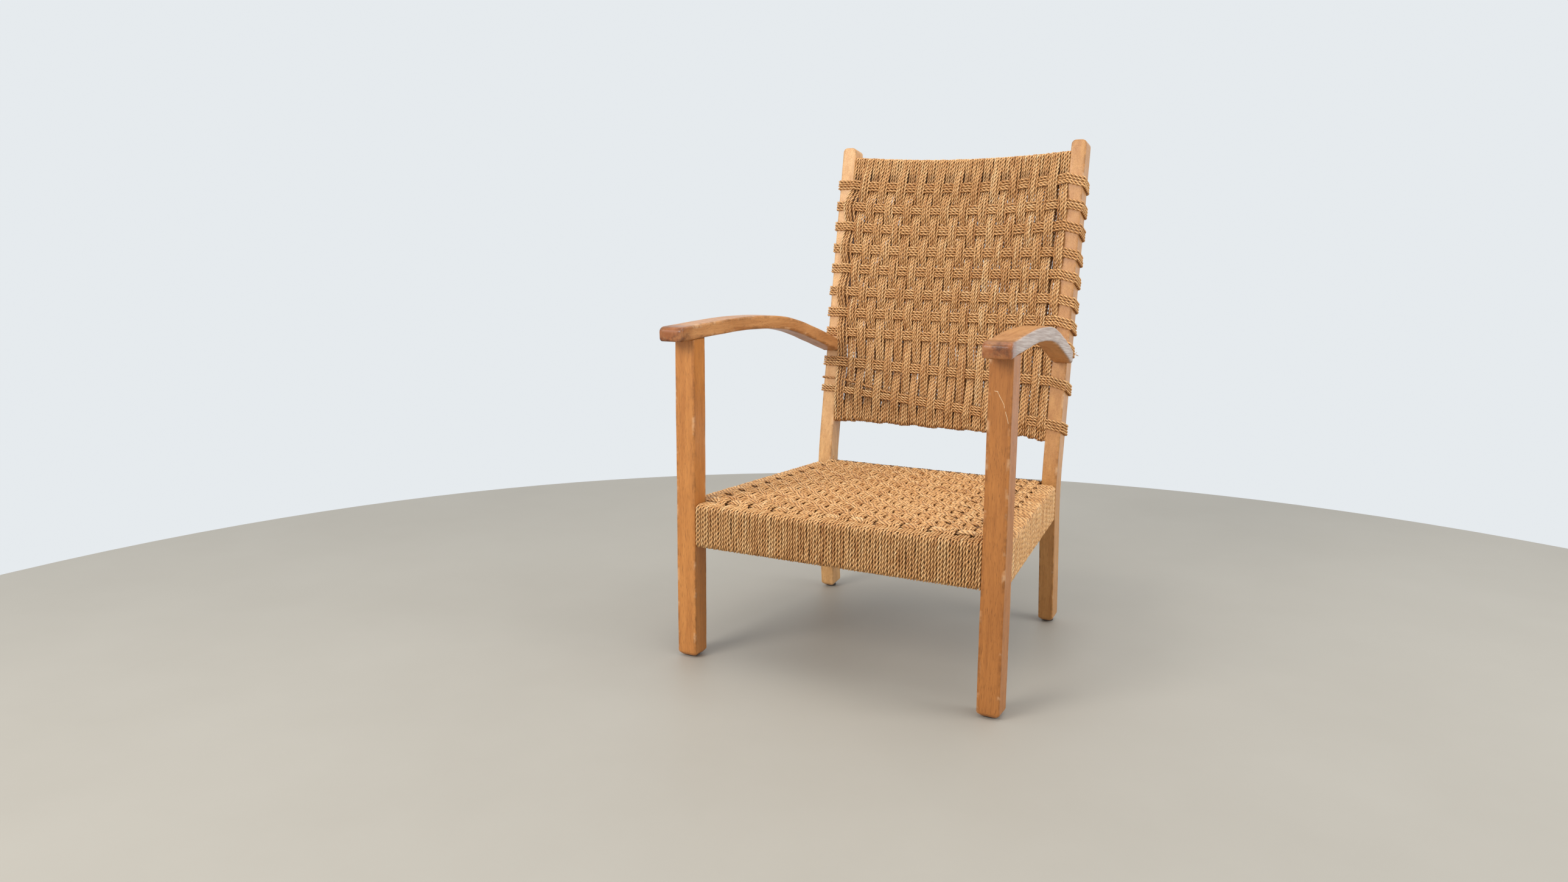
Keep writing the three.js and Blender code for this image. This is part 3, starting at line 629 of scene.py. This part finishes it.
def bar_section(half_u, half_v, round_off):
    """Rounded rectangle as points and a measure of how near each is to a corner."""
    points, edge = [], []
    corners = [(1, -1), (1, 1), (-1, 1), (-1, -1)]
    for i, (su, sv) in enumerate(corners):
        middle = np.array([su * (half_u - round_off), sv * (half_v - round_off)])
        start = -np.pi / 2 + i * np.pi / 2
        for a in np.linspace(0, np.pi / 2, CORNER_POINTS):
            points.append(middle + round_off * np.array([math.cos(start + a), math.sin(start + a)]))
            edge.append(1.0)
        nu, nv = corners[(i + 1) % 4]
        after = np.array([nu * (half_u - round_off), nv * (half_v - round_off)])
        out = round_off * np.array([math.cos(start + np.pi / 2), math.sin(start + np.pi / 2)])
        for f in (0.12, 0.5, 0.88):
            points.append(middle + out + (after - middle) * f)
            edge.append(0.0)
    return np.array(points), np.array(edge)


def bar(name, stations, nodes, material, finish=None):
    """Solid through stations (middle, half_u, half_v, round_off, u axis, v axis), closed at both ends."""
    rows, edges = [], []
    for middle, half_u, half_v, round_off, u, v in stations:
        p, e = bar_section(half_u, half_v, round_off)
        rows.append(np.asarray(middle) + p[:, :1] * u + p[:, 1:] * v)
        edges.append(e)
    size = len(rows[0])
    count = len(rows)
    points = np.concatenate(rows)
    edge = np.concatenate(edges)
    i = np.arange(count - 1)[:, None] * size
    j = np.arange(size)[None, :]
    k = (j + 1) % size
    faces = np.stack([i + j, i + k, i + size + k, i + size + j], -1).reshape(-1, 4)
    half = size // 2
    cap = np.array([[a, size - 1 - a, size - 2 - a, a + 1] for a in range(half - 1)])
    faces = np.concatenate([faces, cap, cap[:, ::-1] + (count - 1) * size])
    if finish:
        points = finish(points)
    for mirror, side in ((1, "left"), (-1, "right")):
        p = points * np.array([mirror, 1, 1])
        f = faces if mirror > 0 else faces[:, ::-1]
        obj = mesh_object(f"{name}_{side}", p, f, {"edge": edge})
        flatten_normals(obj.data)
        obj.data.materials.append(material[side] if isinstance(material, dict) else material)
        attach(obj, "root")
        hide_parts(*[n.format(side) for n in nodes])


def flatten_normals(mesh):
    """Vertex normals weighted by face area, so that broad faces stay flat up to their rounded edges."""
    total = np.zeros((len(mesh.vertices), 3))
    for poly in mesh.polygons:
        total[list(poly.vertices)] += np.array(poly.normal) * poly.area
    mesh.normals_split_custom_set_from_vertices(unit(total + 1e-12).tolist())


def end_rounding(distance, radius):
    """How much a face draws in at a distance from a rounded end."""
    d = np.clip(distance, 0, radius)
    return radius - math.sqrt(radius ** 2 - (radius - d) ** 2)


WORN = 2.0                               # rounding of the stock's long edges
FOOT_CHAMFER = 5.5
TOP_SIDES, TOP_FACES = 9.0, 1.8          # rounding of a post's top, seen from the front and the side
FOOT_STEPS = (0, 1, 2.5, 4.5, 7)         # heights above a foot's end where its section is set


def foot_inset(height):
    """How far a leg's faces draw in at its chamfered foot."""
    return max(0.0, FOOT_CHAMFER - height) * 0.95


def worn(s, base=WORN):
    """Rounding of the long edges, uneven along the stock."""
    return base * (1 + 0.22 * math.sin(s * 0.021 + 1.3) + 0.12 * math.sin(s * 0.067))


def front_leg(material):
    x = (LEG_LOW[0] + LEG_HIGH[0]) / 2
    half = (LEG_HIGH[0] - LEG_LOW[0]) / 2
    low, high = LEG_LOW[2], LEG_HIGH[2]
    stations = []
    for z in [*(low + d for d in FOOT_STEPS), *np.linspace(low + 12, high - 4, 60), high]:
        inset = foot_inset(z - low)
        stations.append(((x, half, z), half - inset, half - inset, worn(z), X_AXIS, Y_AXIS))

    def under_arm(points):
        top = points[:, 2] > high - 1
        points[top, 2] = np.interp(points[top, 1], ARM_Y, ARM_Z) + 0.4
        return points

    bar("wood_front_leg", stations, ["front_leg_{}"], material, under_arm)


def post_front_line():
    """Points up the front face of a post: lower run, bend, upper run."""
    up = np.array([math.sin(LEAN), math.cos(LEAN)])
    down = np.array([math.sin(FOOT_RAKE), -math.cos(FOOT_RAKE)])
    reach = (KNEE[1] - POST_LOW[2]) / math.cos(FOOT_RAKE)
    top = (POST_HIGH[2] - KNEE[1]) / math.cos(LEAN)
    lower = [KNEE + down * (reach - d) for d in FOOT_STEPS]
    lower += [KNEE + down * d for d in np.linspace(reach - 12, KNEE_REACH, 18)]
    bend = []
    for f in np.linspace(0, 1, 18)[1:-1]:
        bend.append((1 - f) ** 2 * (KNEE + down * KNEE_REACH) + 2 * f * (1 - f) * KNEE
                    + f ** 2 * (KNEE + up * KNEE_REACH))
    upper = [KNEE + up * d for d in np.linspace(KNEE_REACH, top - 12, 70)]
    upper += [KNEE + up * (top - d) for d in (9, 6.5, 4.5, 3, 1.8, 0.8, 0.3, 0.0)]
    return np.array(lower + bend + upper)


def back_post(material):
    line = post_front_line()
    along = unit(np.gradient(line, axis=0))
    along[:5] = along[6]
    along[-9:] = along[-12]
    run = np.concatenate([[0], np.cumsum(np.linalg.norm(np.diff(line, axis=0), axis=1))])
    x = (POST_INNER + POST_OUTER) / 2
    half = (POST_OUTER - POST_INNER) / 2
    stations = []
    for p, a, s in zip(line, along, run):
        back_dir = np.array([a[1], -a[0]])
        middle = p + back_dir * POST_DEPTH / 2
        foot = foot_inset(s)
        top_u = end_rounding(run[-1] - s, TOP_SIDES)
        top_v = end_rounding(run[-1] - s, TOP_FACES)
        stations.append(((x, middle[0], middle[1]), half - foot - top_u, POST_DEPTH / 2 - foot - top_v,
                         min(worn(s, 1.8), 2.4), X_AXIS, np.array([0, back_dir[0], back_dir[1]])))
    low = POST_LOW[2]

    def level_foot(points):
        points[:, 2] = np.maximum(points[:, 2], low)
        return points

    bar("wood_back_post", stations, ["back_post_{}"], material, level_foot)


# underside of an armrest from its front end to the post, layout Y and Z
ARM_UNDERSIDE = [(-37, 574), (60, 579.2), (165, 582.6), (270, 578.8), (345, 567.5), (425, 545.5),
                 (516, 517.5)]
ARM_THICK = 25.0
ARM_PLAN = ((-37, 261.5, 308), (517, 227, 265.5))    # Y, inner X, outer X at the two ends
ARM_FRONT_WIDTH, ARM_FRONT_SLOPE = 46.0, 0.05
ARM_NOSE, ARM_CHIN, ARM_CHEEK = 10.0, 3.0, 4.0       # rounding of the front end: above, below, at the sides
ARM_WORN = 4.2
NOSE_STEPS = (0.0, 0.5, 1.3, 2.6, 4.5, 7.0, 10.0)    # distances from the front end where sections are set


def spline(points, per_span):
    """Catmull-Rom curve through points."""
    p = np.array(points, float)
    p = np.concatenate([[2 * p[0] - p[1]], p, [2 * p[-1] - p[-2]]])
    out = []
    for i in range(1, len(p) - 2):
        for f in np.linspace(0, 1, per_span, endpoint=False):
            a, b, c, d = p[i - 1], p[i], p[i + 1], p[i + 2]
            out.append(0.5 * (2 * b + (c - a) * f + (2 * a - 5 * b + 4 * c - d) * f ** 2
                              + (3 * b - a - 3 * c + d) * f ** 3))
    out.append(p[-2])
    return np.array(out)


ARM_CURVE = spline(ARM_UNDERSIDE, 12)
ARM_Y, ARM_Z = ARM_CURVE[:, 0], ARM_CURVE[:, 1]


def armrest(material):
    front = ARM_CURVE[0]
    extra = [front + np.array([d, d * ARM_FRONT_SLOPE]) for d in NOSE_STEPS]
    line = np.array(extra + [p for p in ARM_CURVE if p[0] > front[0] + NOSE_STEPS[-1] + 2])
    along = unit(np.gradient(line, axis=0))
    (y0, in0, out0), (y1, in1, out1) = ARM_PLAN
    stations = []
    last = len(line) - 1
    for i, (p, a) in enumerate(zip(line, along)):
        up = np.array([-a[1], a[0]])
        top = p + up * ARM_THICK
        if i == last:
            # the end section turns until it lies on the post's face
            face = KNEE[0] + (np.array([p[1], top[1]]) - KNEE[1]) * math.tan(LEAN) - 0.2
            p, top = np.array([face[0], p[1]]), np.array([face[1], top[1]])
        from_end = p[0] - front[0]
        nose = end_rounding(from_end, ARM_NOSE)
        chin = end_rounding(from_end, ARM_CHIN)
        low, high = p + (top - p) * chin / ARM_THICK, top - (top - p) * nose / ARM_THICK
        middle = (low + high) / 2
        v = unit(high - low)
        f = (middle[0] - y0) / (y1 - y0)
        inner, outer = in0 + (in1 - in0) * f, out0 + (out1 - out0) * f
        half_u = (outer - inner) / 2 * (1 - 2 * end_rounding(from_end, ARM_CHEEK) / ARM_FRONT_WIDTH)
        stations.append((((inner + outer) / 2, middle[0], middle[1]), half_u, np.linalg.norm(high - low) / 2,
                         worn(middle[0] * 1.7, ARM_WORN), X_AXIS, np.array([0, v[0], v[1]])))
    bar("wood_armrest", stations, ["armrest_{}"], material)


# ------------------------ materials
class Nodes:
    """Short-hand for building a node tree."""

    def __init__(self, name):
        self.material = bpy.data.materials.new(name)
        self.material.use_nodes = True
        self.tree = self.material.node_tree
        self.shader = self.tree.nodes["Principled BSDF"]

    def add(self, kind, inputs=(), **settings):
        node = self.tree.nodes.new(kind)
        for key, value in settings.items():
            setattr(node, key, value)
        for key, value in dict(inputs).items():
            self.put(node.inputs[key], value)
        return node

    def put(self, socket, value):
        if isinstance(value, bpy.types.NodeSocket):
            self.tree.links.new(value, socket)
        else:
            socket.default_value = value

    def math(self, operation, a, b=0.0, clamp=False):
        node = self.add("ShaderNodeMath", {0: a, 1: b}, operation=operation, use_clamp=clamp)
        return node.outputs[0]

    def noise(self, vector, scale, detail=3.0, rough=0.55):
        node = self.add("ShaderNodeTexNoise", {"Vector": vector, "Scale": scale, "Detail": detail,
                                               "Roughness": rough})
        return node.outputs["Fac"]

    def stretch(self, vector, scale, turn=(0, 0, 0)):
        node = self.add("ShaderNodeMapping", {"Vector": vector, "Scale": scale, "Rotation": turn})
        return node.outputs["Vector"]

    def ramp(self, value, stops):
        node = self.add("ShaderNodeValToRGB", {"Fac": value})
        elements = node.color_ramp.elements
        while len(elements) < len(stops):
            elements.new(0.5)
        for element, (place, colour) in zip(elements, stops):
            element.position = place
            element.color = (*colour, 1.0) if isinstance(colour, tuple) else (colour,) * 3 + (1.0,)
        return node.outputs["Color"]

    def mix(self, share, a, b, blend="MIX"):
        node = self.add("ShaderNodeMix", data_type="RGBA", blend_type=blend)
        self.put(node.inputs[0], share)
        self.put(node.inputs[6], a if isinstance(a, bpy.types.NodeSocket) else (*a, 1.0))
        self.put(node.inputs[7], b if isinstance(b, bpy.types.NodeSocket) else (*b, 1.0))
        return node.outputs[2]

    def attribute(self, name, output="Fac"):
        return self.add("ShaderNodeAttribute", attribute_name=name).outputs[output]

    def bump(self, height, distance, strength=1.0, normal=None):
        inputs = {"Height": height, "Distance": distance, "Strength": strength}
        if normal is not None:
            inputs["Normal"] = normal
        return self.add("ShaderNodeBump", inputs).outputs["Normal"]


def cord_material():
    """Seagrass: golden straw, smooth fibres that run along each strand, with painted shade between the
    strands.
    """
    n = Nodes("cord")
    lay = n.attribute("lay", "Vector")
    fibre = n.noise(n.stretch(lay, (60, 700, 700)), 1.0, 2.0, 0.5)
    fine = n.noise(n.stretch(lay, (140, 2400, 2400)), 1.0, 2.0, 0.6)
    patch = n.noise(n.stretch(lay, (30, 30, 30)), 1.0, 2.0)
    tone = n.attribute("tone")
    value = n.math("ADD", n.math("MULTIPLY", fibre, 0.45), n.math("MULTIPLY", fine, 0.16))
    value = n.math("ADD", value, n.math("MULTIPLY", tone, 0.42))
    value = n.math("ADD", value, n.math("MULTIPLY", patch, 0.30))
    colour = n.ramp(n.math("SUBTRACT", value, 0.17), [
        (0.18, (0.42, 0.17, 0.050)), (0.36, (0.60, 0.29, 0.100)), (0.50, (0.77, 0.42, 0.165)),
        (0.66, (0.88, 0.55, 0.255)), (0.86, (0.97, 0.76, 0.47))])
    # painted shade: dark brown in the grooves, where a cord goes under others and at the backs of slots
    painted_shade = n.ramp(n.attribute("painted_shade"), [(0.30, 0.0), (0.92, 1.0)])
    colour = n.mix(n.math("MULTIPLY", painted_shade, 0.86), colour, (0.105, 0.036, 0.010))
    n.put(n.shader.inputs["Base Color"], colour)
    n.put(n.shader.inputs["Roughness"], n.math("ADD", n.math("MULTIPLY", fine, 0.22), 0.36))
    n.shader.inputs["Specular IOR Level"].default_value = 0.4
    n.put(n.shader.inputs["Normal"], n.bump(fibre, 0.0004, 0.5))
    return n.material


RIDGE_SLANT = 6                          # degrees, of the grain ridges that break up the painted sheen on the armrests' outer faces
HANDLED = 0.035                          # metres of dark handled wood at an armrest's front end


def wood_material(name, grain, light, dark, turn=(0, 0, 0), patina=None, scratches=()):
    """Varnished straight-grained wood. grain is the axis it runs along; patina is (Y where the dark handled
    end stops, width); scratches are (point A, point B, width), all in metres in the row frame."""
    n = Nodes(name)
    place = n.add("ShaderNodeTexCoord").outputs["Object"]
    squeeze = {"y": (1, 0.045, 1), "z": (1, 1, 0.045)}[grain]
    place_turned = n.stretch(place, (1, 1, 1), turn)
    drift = n.add("ShaderNodeTexNoise", {"Vector": place_turned, "Scale": 9.0, "Detail": 2.0})
    bent = n.add("ShaderNodeVectorMath", {0: place_turned}, operation="ADD")
    scaled = n.add("ShaderNodeVectorMath", {0: drift.outputs["Color"], "Scale": 0.012}, operation="SCALE")
    n.put(bent.inputs[1], scaled.outputs[0])
    along = n.stretch(bent.outputs[0], squeeze)
    bands = n.noise(along, 95.0, 3.0, 0.6)
    streak = n.noise(along, 420.0, 2.0, 0.5)
    pores = n.noise(along, 1500.0, 1.0, 0.4)
    broad = n.noise(place, 11.0, 2.0)
    value = n.math("ADD", n.math("MULTIPLY", bands, 0.62), n.math("MULTIPLY", streak, 0.3))
    value = n.math("ADD", value, n.math("MULTIPLY", broad, 0.28))
    colour = n.mix(n.ramp(value, [(0.38, 0.0), (0.78, 1.0)]), dark, light)
    pore = n.ramp(pores, [(0.30, 1.0), (0.40, 0.0)])
    colour = n.mix(n.math("MULTIPLY", pore, 0.45), colour, tuple(c * 0.35 for c in dark))
    # edges are rubbed: darker with dirt in places, paler where the varnish is gone
    edge = n.attribute("edge")
    rub = n.ramp(n.noise(place, 55.0, 4.0, 0.65), [(0.45, 0.0), (0.62, 1.0)])
    colour = n.mix(n.math("MULTIPLY", n.math("MULTIPLY", edge, rub), 0.45), colour,
                   tuple(c * 0.42 for c in dark))
    pale = n.ramp(n.noise(place, 31.0, 3.0, 0.6), [(0.56, 0.0), (0.66, 1.0)])
    colour = n.mix(n.math("MULTIPLY", n.math("MULTIPLY", edge, pale), 0.4), colour, (0.80, 0.52, 0.30))
    rough = n.math("ADD", n.math("MULTIPLY", n.noise(place, 38.0, 3.0), 0.22), 0.27)
    split = n.add("ShaderNodeSeparateXYZ", {"Vector": place})
    if patina:
        end, width = patina
        near = n.math("DIVIDE", n.math("SUBTRACT", end, split.outputs["Y"]), width, True)
        blotch = n.ramp(n.noise(place, 70.0, 4.0, 0.7), [(0.30, 0.55), (0.58, 1.0)])
        amount = n.math("MULTIPLY", n.math("POWER", near, 0.8), blotch)
        # a painted sheen: the outer face is painted greyish, standing in for the side light's reflection,
        # broken by slanting ridges of grain
        facing = n.add("ShaderNodeSeparateXYZ", {"Vector": n.add("ShaderNodeTexCoord").outputs["Normal"]})
        outward = n.math("MULTIPLY", facing.outputs["X"], n.math("SIGN", split.outputs["X"]))
        outer = n.ramp(outward, [(0.55, 0.0), (0.85, 1.0)])
        ridge = n.noise(n.stretch(n.stretch(place, (1, 1, 1), (math.radians(RIDGE_SLANT), 0, 0)),
                                  (1, 14, 520)), 1.0, 2.0, 0.5)
        painted_sheen = n.mix(n.ramp(ridge, [(0.40, 0.0), (0.62, 1.0)]), (0.30, 0.225, 0.185), (0.50, 0.425, 0.375))
        colour = n.mix(n.math("MULTIPLY", outer, 0.85), colour, painted_sheen)
        dark_spots = n.ramp(n.noise(place, 48.0, 4.0, 0.7), [(0.44, 0.0), (0.60, 1.0)])
        handled = n.mix(dark_spots, (0.27, 0.082, 0.022), (0.085, 0.022, 0.008))
        colour = n.mix(n.math("MULTIPLY", amount, 0.94), colour, handled)
        rough = n.math("SUBTRACT", rough, n.math("MULTIPLY", near, 0.10))
    for a, b, width in scratches:
        a, b = Vector(a), Vector(b)
        to = n.add("ShaderNodeVectorMath", {0: place, 1: a}, operation="SUBTRACT").outputs[0]
        wobble = n.math("MULTIPLY", n.math("SUBTRACT", n.noise(place, 45.0), 0.5), 0.003)
        run = n.add("ShaderNodeVectorMath", {0: to, 1: (b - a).normalized()}, operation="DOT_PRODUCT")
        across = Vector((b.z - a.z, 0, a.x - b.x)).normalized()
        off = n.add("ShaderNodeVectorMath", {0: to, 1: across}, operation="DOT_PRODUCT").outputs["Value"]
        off = n.math("ABSOLUTE", n.math("ADD", off, wobble))
        line = n.math("LESS_THAN", off, width)
        inside = n.math("MULTIPLY", n.math("GREATER_THAN", run.outputs["Value"], 0.0),
                        n.math("LESS_THAN", run.outputs["Value"], (b - a).length))
        broken = n.math("GREATER_THAN", n.noise(place, 160.0), 0.42)
        on = n.math("MULTIPLY", n.math("MULTIPLY", line, inside), broken)
        colour = n.mix(n.math("MULTIPLY", on, 0.75), colour, (0.85, 0.62, 0.38))
    n.put(n.shader.inputs["Base Color"], colour)
    n.put(n.shader.inputs["Roughness"], rough)
    n.shader.inputs["Specular IOR Level"].default_value = 0.35
    n.shader.inputs["Coat Weight"].default_value = 0.06
    n.shader.inputs["Coat Roughness"].default_value = 0.22
    relief = n.math("SUBTRACT", n.math("MULTIPLY", streak, 0.5), n.math("MULTIPLY", pore, 0.8))
    n.put(n.shader.inputs["Normal"], n.bump(relief, 0.00025, 0.55))
    return n.material


def plain_wood(name, colour):
    n = Nodes(name)
    place = n.add("ShaderNodeTexCoord").outputs["Object"]
    grain = n.noise(n.stretch(place, (0.06, 1, 1)), 320.0, 3.0, 0.6)
    n.put(n.shader.inputs["Base Color"],
          n.mix(grain, tuple(c * 0.6 for c in colour), colour))
    n.shader.inputs["Roughness"].default_value = 0.7
    n.put(n.shader.inputs["Normal"], n.bump(grain, 0.0003, 0.6))
    return n.material


def glide_material():
    n = Nodes("glide")
    place = n.add("ShaderNodeTexCoord").outputs["Object"]
    wear = n.noise(place, 260.0, 4.0, 0.7)
    n.put(n.shader.inputs["Base Color"], n.mix(wear, (0.02, 0.016, 0.014), (0.12, 0.10, 0.09)))
    n.put(n.shader.inputs["Roughness"], n.math("ADD", n.math("MULTIPLY", wear, 0.3), 0.35))
    n.shader.inputs["Metallic"].default_value = 0.4
    n.put(n.shader.inputs["Normal"], n.bump(wear, 0.0003, 0.5))
    return n.material


# ------------------------ build the chair
cord_look = cord_material()

PARTS = 4                                # each long cord is shared out over this many objects


def in_parts(name, cords, node, extras=()):
    """PARTS objects out of many cords, in order; extras is one list of further cords for each."""
    size = len(cords) // PARTS
    for i in range(PARTS):
        more = extras[i] if extras else []
        cord_piece(f"{name}_{i + 1}", cords[i * size:(i + 1) * size] + more, [node], cord_look)


warp = [seat_warp(k) for k in range(WARP_GROUPS * GROUP)]
fillers = [[seat_filler(x) for x in part] for part in np.split(FILLER_X, PARTS)]
in_parts("seat_front_to_back", warp, "seat_cord_front_to_back", fillers)
weft = [seat_weft(k) for k in range(WEFT_GROUPS * GROUP)]
in_parts("seat_side_to_side", weft, "seat_cord_side_to_side", [[], [], [], [loose_end("seat_stub")]])
uprights = [back_upright(g, c) for g in range(BACK_GROUPS) for c in range(GROUP)]
frayed = [loose_end("frayed"), loose_end("frayed_short")]
in_parts("back_upright", uprights, "back_cord_upright", [[], [], [], frayed])
back_rows(cord_look)

# pale scratches on the front face of the sitter's left leg: X and Z of their points, half width, metres
SCRATCHES = [([(0.2768, 0.5229), (0.2872, 0.5040), (0.2957, 0.4730)], 0.00035),
             ([(0.2723, 0.5232), (0.2780, 0.5222)], 0.0004)]
scratches = [((a[0], FRONT_Y, a[1]), (b[0], FRONT_Y, b[1]), width)
             for line, width in SCRATCHES for a, b in zip(line, line[1:])]
# the two legs' woods are lighter and darker copies of one colour: painted light on the right one, painted
# shade on the left one
leg_wood = {
    "left": wood_material("wood_leg_left_painted_shade", "z", (0.48, 0.182, 0.042), (0.31, 0.104, 0.021),
                          scratches=scratches),
    "right": wood_material("wood_leg_right_painted_light", "z", (0.60, 0.245, 0.062), (0.40, 0.140, 0.030))}
front_leg(leg_wood)
# the two posts' woods are lighter and darker copies of one colour too: painted light on the right one,
# painted shade on the left one
back_post({
    "left": wood_material("wood_post_left_painted_shade", "z", (0.58, 0.285, 0.090), (0.40, 0.165, 0.046), (-LEAN, 0, 0)),
    "right": wood_material("wood_post_right_painted_light", "z", (0.76, 0.44, 0.185), (0.52, 0.25, 0.085), (-LEAN, 0, 0))})
armrest(wood_material("wood_arm", "y", (0.62, 0.305, 0.115), (0.36, 0.140, 0.042),
                      patina=(FRONT_Y + ARM_FRONT * MM + HANDLED, HANDLED)))

# the nodes that keep their CAD shape: glides, and what the cord and the joints hide
# the rails get a near black brown: painted shade where they show between the cords
plain_looks = {"glide": glide_material(), "dowel": plain_wood("dowel", (0.62, 0.42, 0.24)),
               "rail": plain_wood("rail", (0.12, 0.060, 0.025))}
for node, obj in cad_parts.items():
    for kind, look in plain_looks.items():
        if kind in node:
            obj.data.materials.clear()
            obj.data.materials.append(look)

# ------------------------ stage, light and camera
FLOOR_RADIUS = 2.2
FLOOR_MIDDLE = (0.3, FRONT_Y - 0.3, 0)
bpy.ops.mesh.primitive_circle_add(vertices=128, radius=FLOOR_RADIUS, fill_type="NGON",
                                  location=FLOOR_MIDDLE)
floor = bpy.context.object
floor.name = "floor"
n = Nodes("floor")
place = n.add("ShaderNodeTexCoord").outputs["Object"]
cloud = n.noise(place, 2.2, 5.0, 0.6)
n.put(n.shader.inputs["Base Color"], n.mix(cloud, (0.350, 0.318, 0.268), (0.405, 0.374, 0.322)))
n.shader.inputs["Roughness"].default_value = 0.55
floor.data.materials.append(n.material)

world = bpy.data.worlds.new("studio")
world.use_nodes = True
background = world.node_tree.nodes["Background"]
background.inputs["Color"].default_value = (0.86, 0.90, 0.93, 1)
background.inputs["Strength"].default_value = 0.92
bpy.context.scene.world = world


def area_light(name, at, target, size, watts, colour=(1, 1, 1)):
    data = bpy.data.lights.new(name, "AREA")
    data.shape = "DISK"
    data.size = size
    data.energy = watts
    data.color = colour
    lamp = bpy.data.objects.new(name, data)
    lamp.location = at
    lamp.rotation_euler = (Vector(target) - Vector(at)).to_track_quat("-Z", "Y").to_euler()
    bpy.context.scene.collection.objects.link(lamp)


area_light("overhead", (0.2, -0.4, 3.0), (0, 0, 0.3), 2.0, 24, (1.0, 0.98, 0.95))
area_light("window", (2.6, 0.2, 1.6), (0, 0, 0.5), 1.6, 30, (0.96, 0.98, 1.0))
area_light("front", (-1.2, -2.8, 2.0), (0, 0, 0.5), 1.5, 62, (1.0, 0.985, 0.96))

CAMERA_AT = Vector((0.7627, -1.6062 + FRONT_Y, 0.7362))
HEADING, TILT, ROLL = math.radians(27.82), math.radians(-10.02), math.radians(0.34)
LENS, SENSOR = 25.39, 36.0
look = Vector((-math.sin(HEADING) * math.cos(TILT), math.cos(HEADING) * math.cos(TILT), math.sin(TILT)))
level = Vector((math.cos(HEADING), math.sin(HEADING), 0))
upward = level.cross(look)
right = level * math.cos(ROLL) + upward * math.sin(ROLL)
upward = upward * math.cos(ROLL) - level * math.sin(ROLL)
camera_data = bpy.data.cameras.new("camera")
camera_data.lens, camera_data.sensor_width = LENS, SENSOR
camera = bpy.data.objects.new("camera", camera_data)
camera.matrix_world = Matrix((
    (right.x, upward.x, -look.x, CAMERA_AT.x),
    (right.y, upward.y, -look.y, CAMERA_AT.y),
    (right.z, upward.z, -look.z, CAMERA_AT.z),
    (0, 0, 0, 1)))
bpy.context.scene.collection.objects.link(camera)
bpy.context.scene.camera = camera
bpy.context.scene.view_settings.view_transform = "Standard"
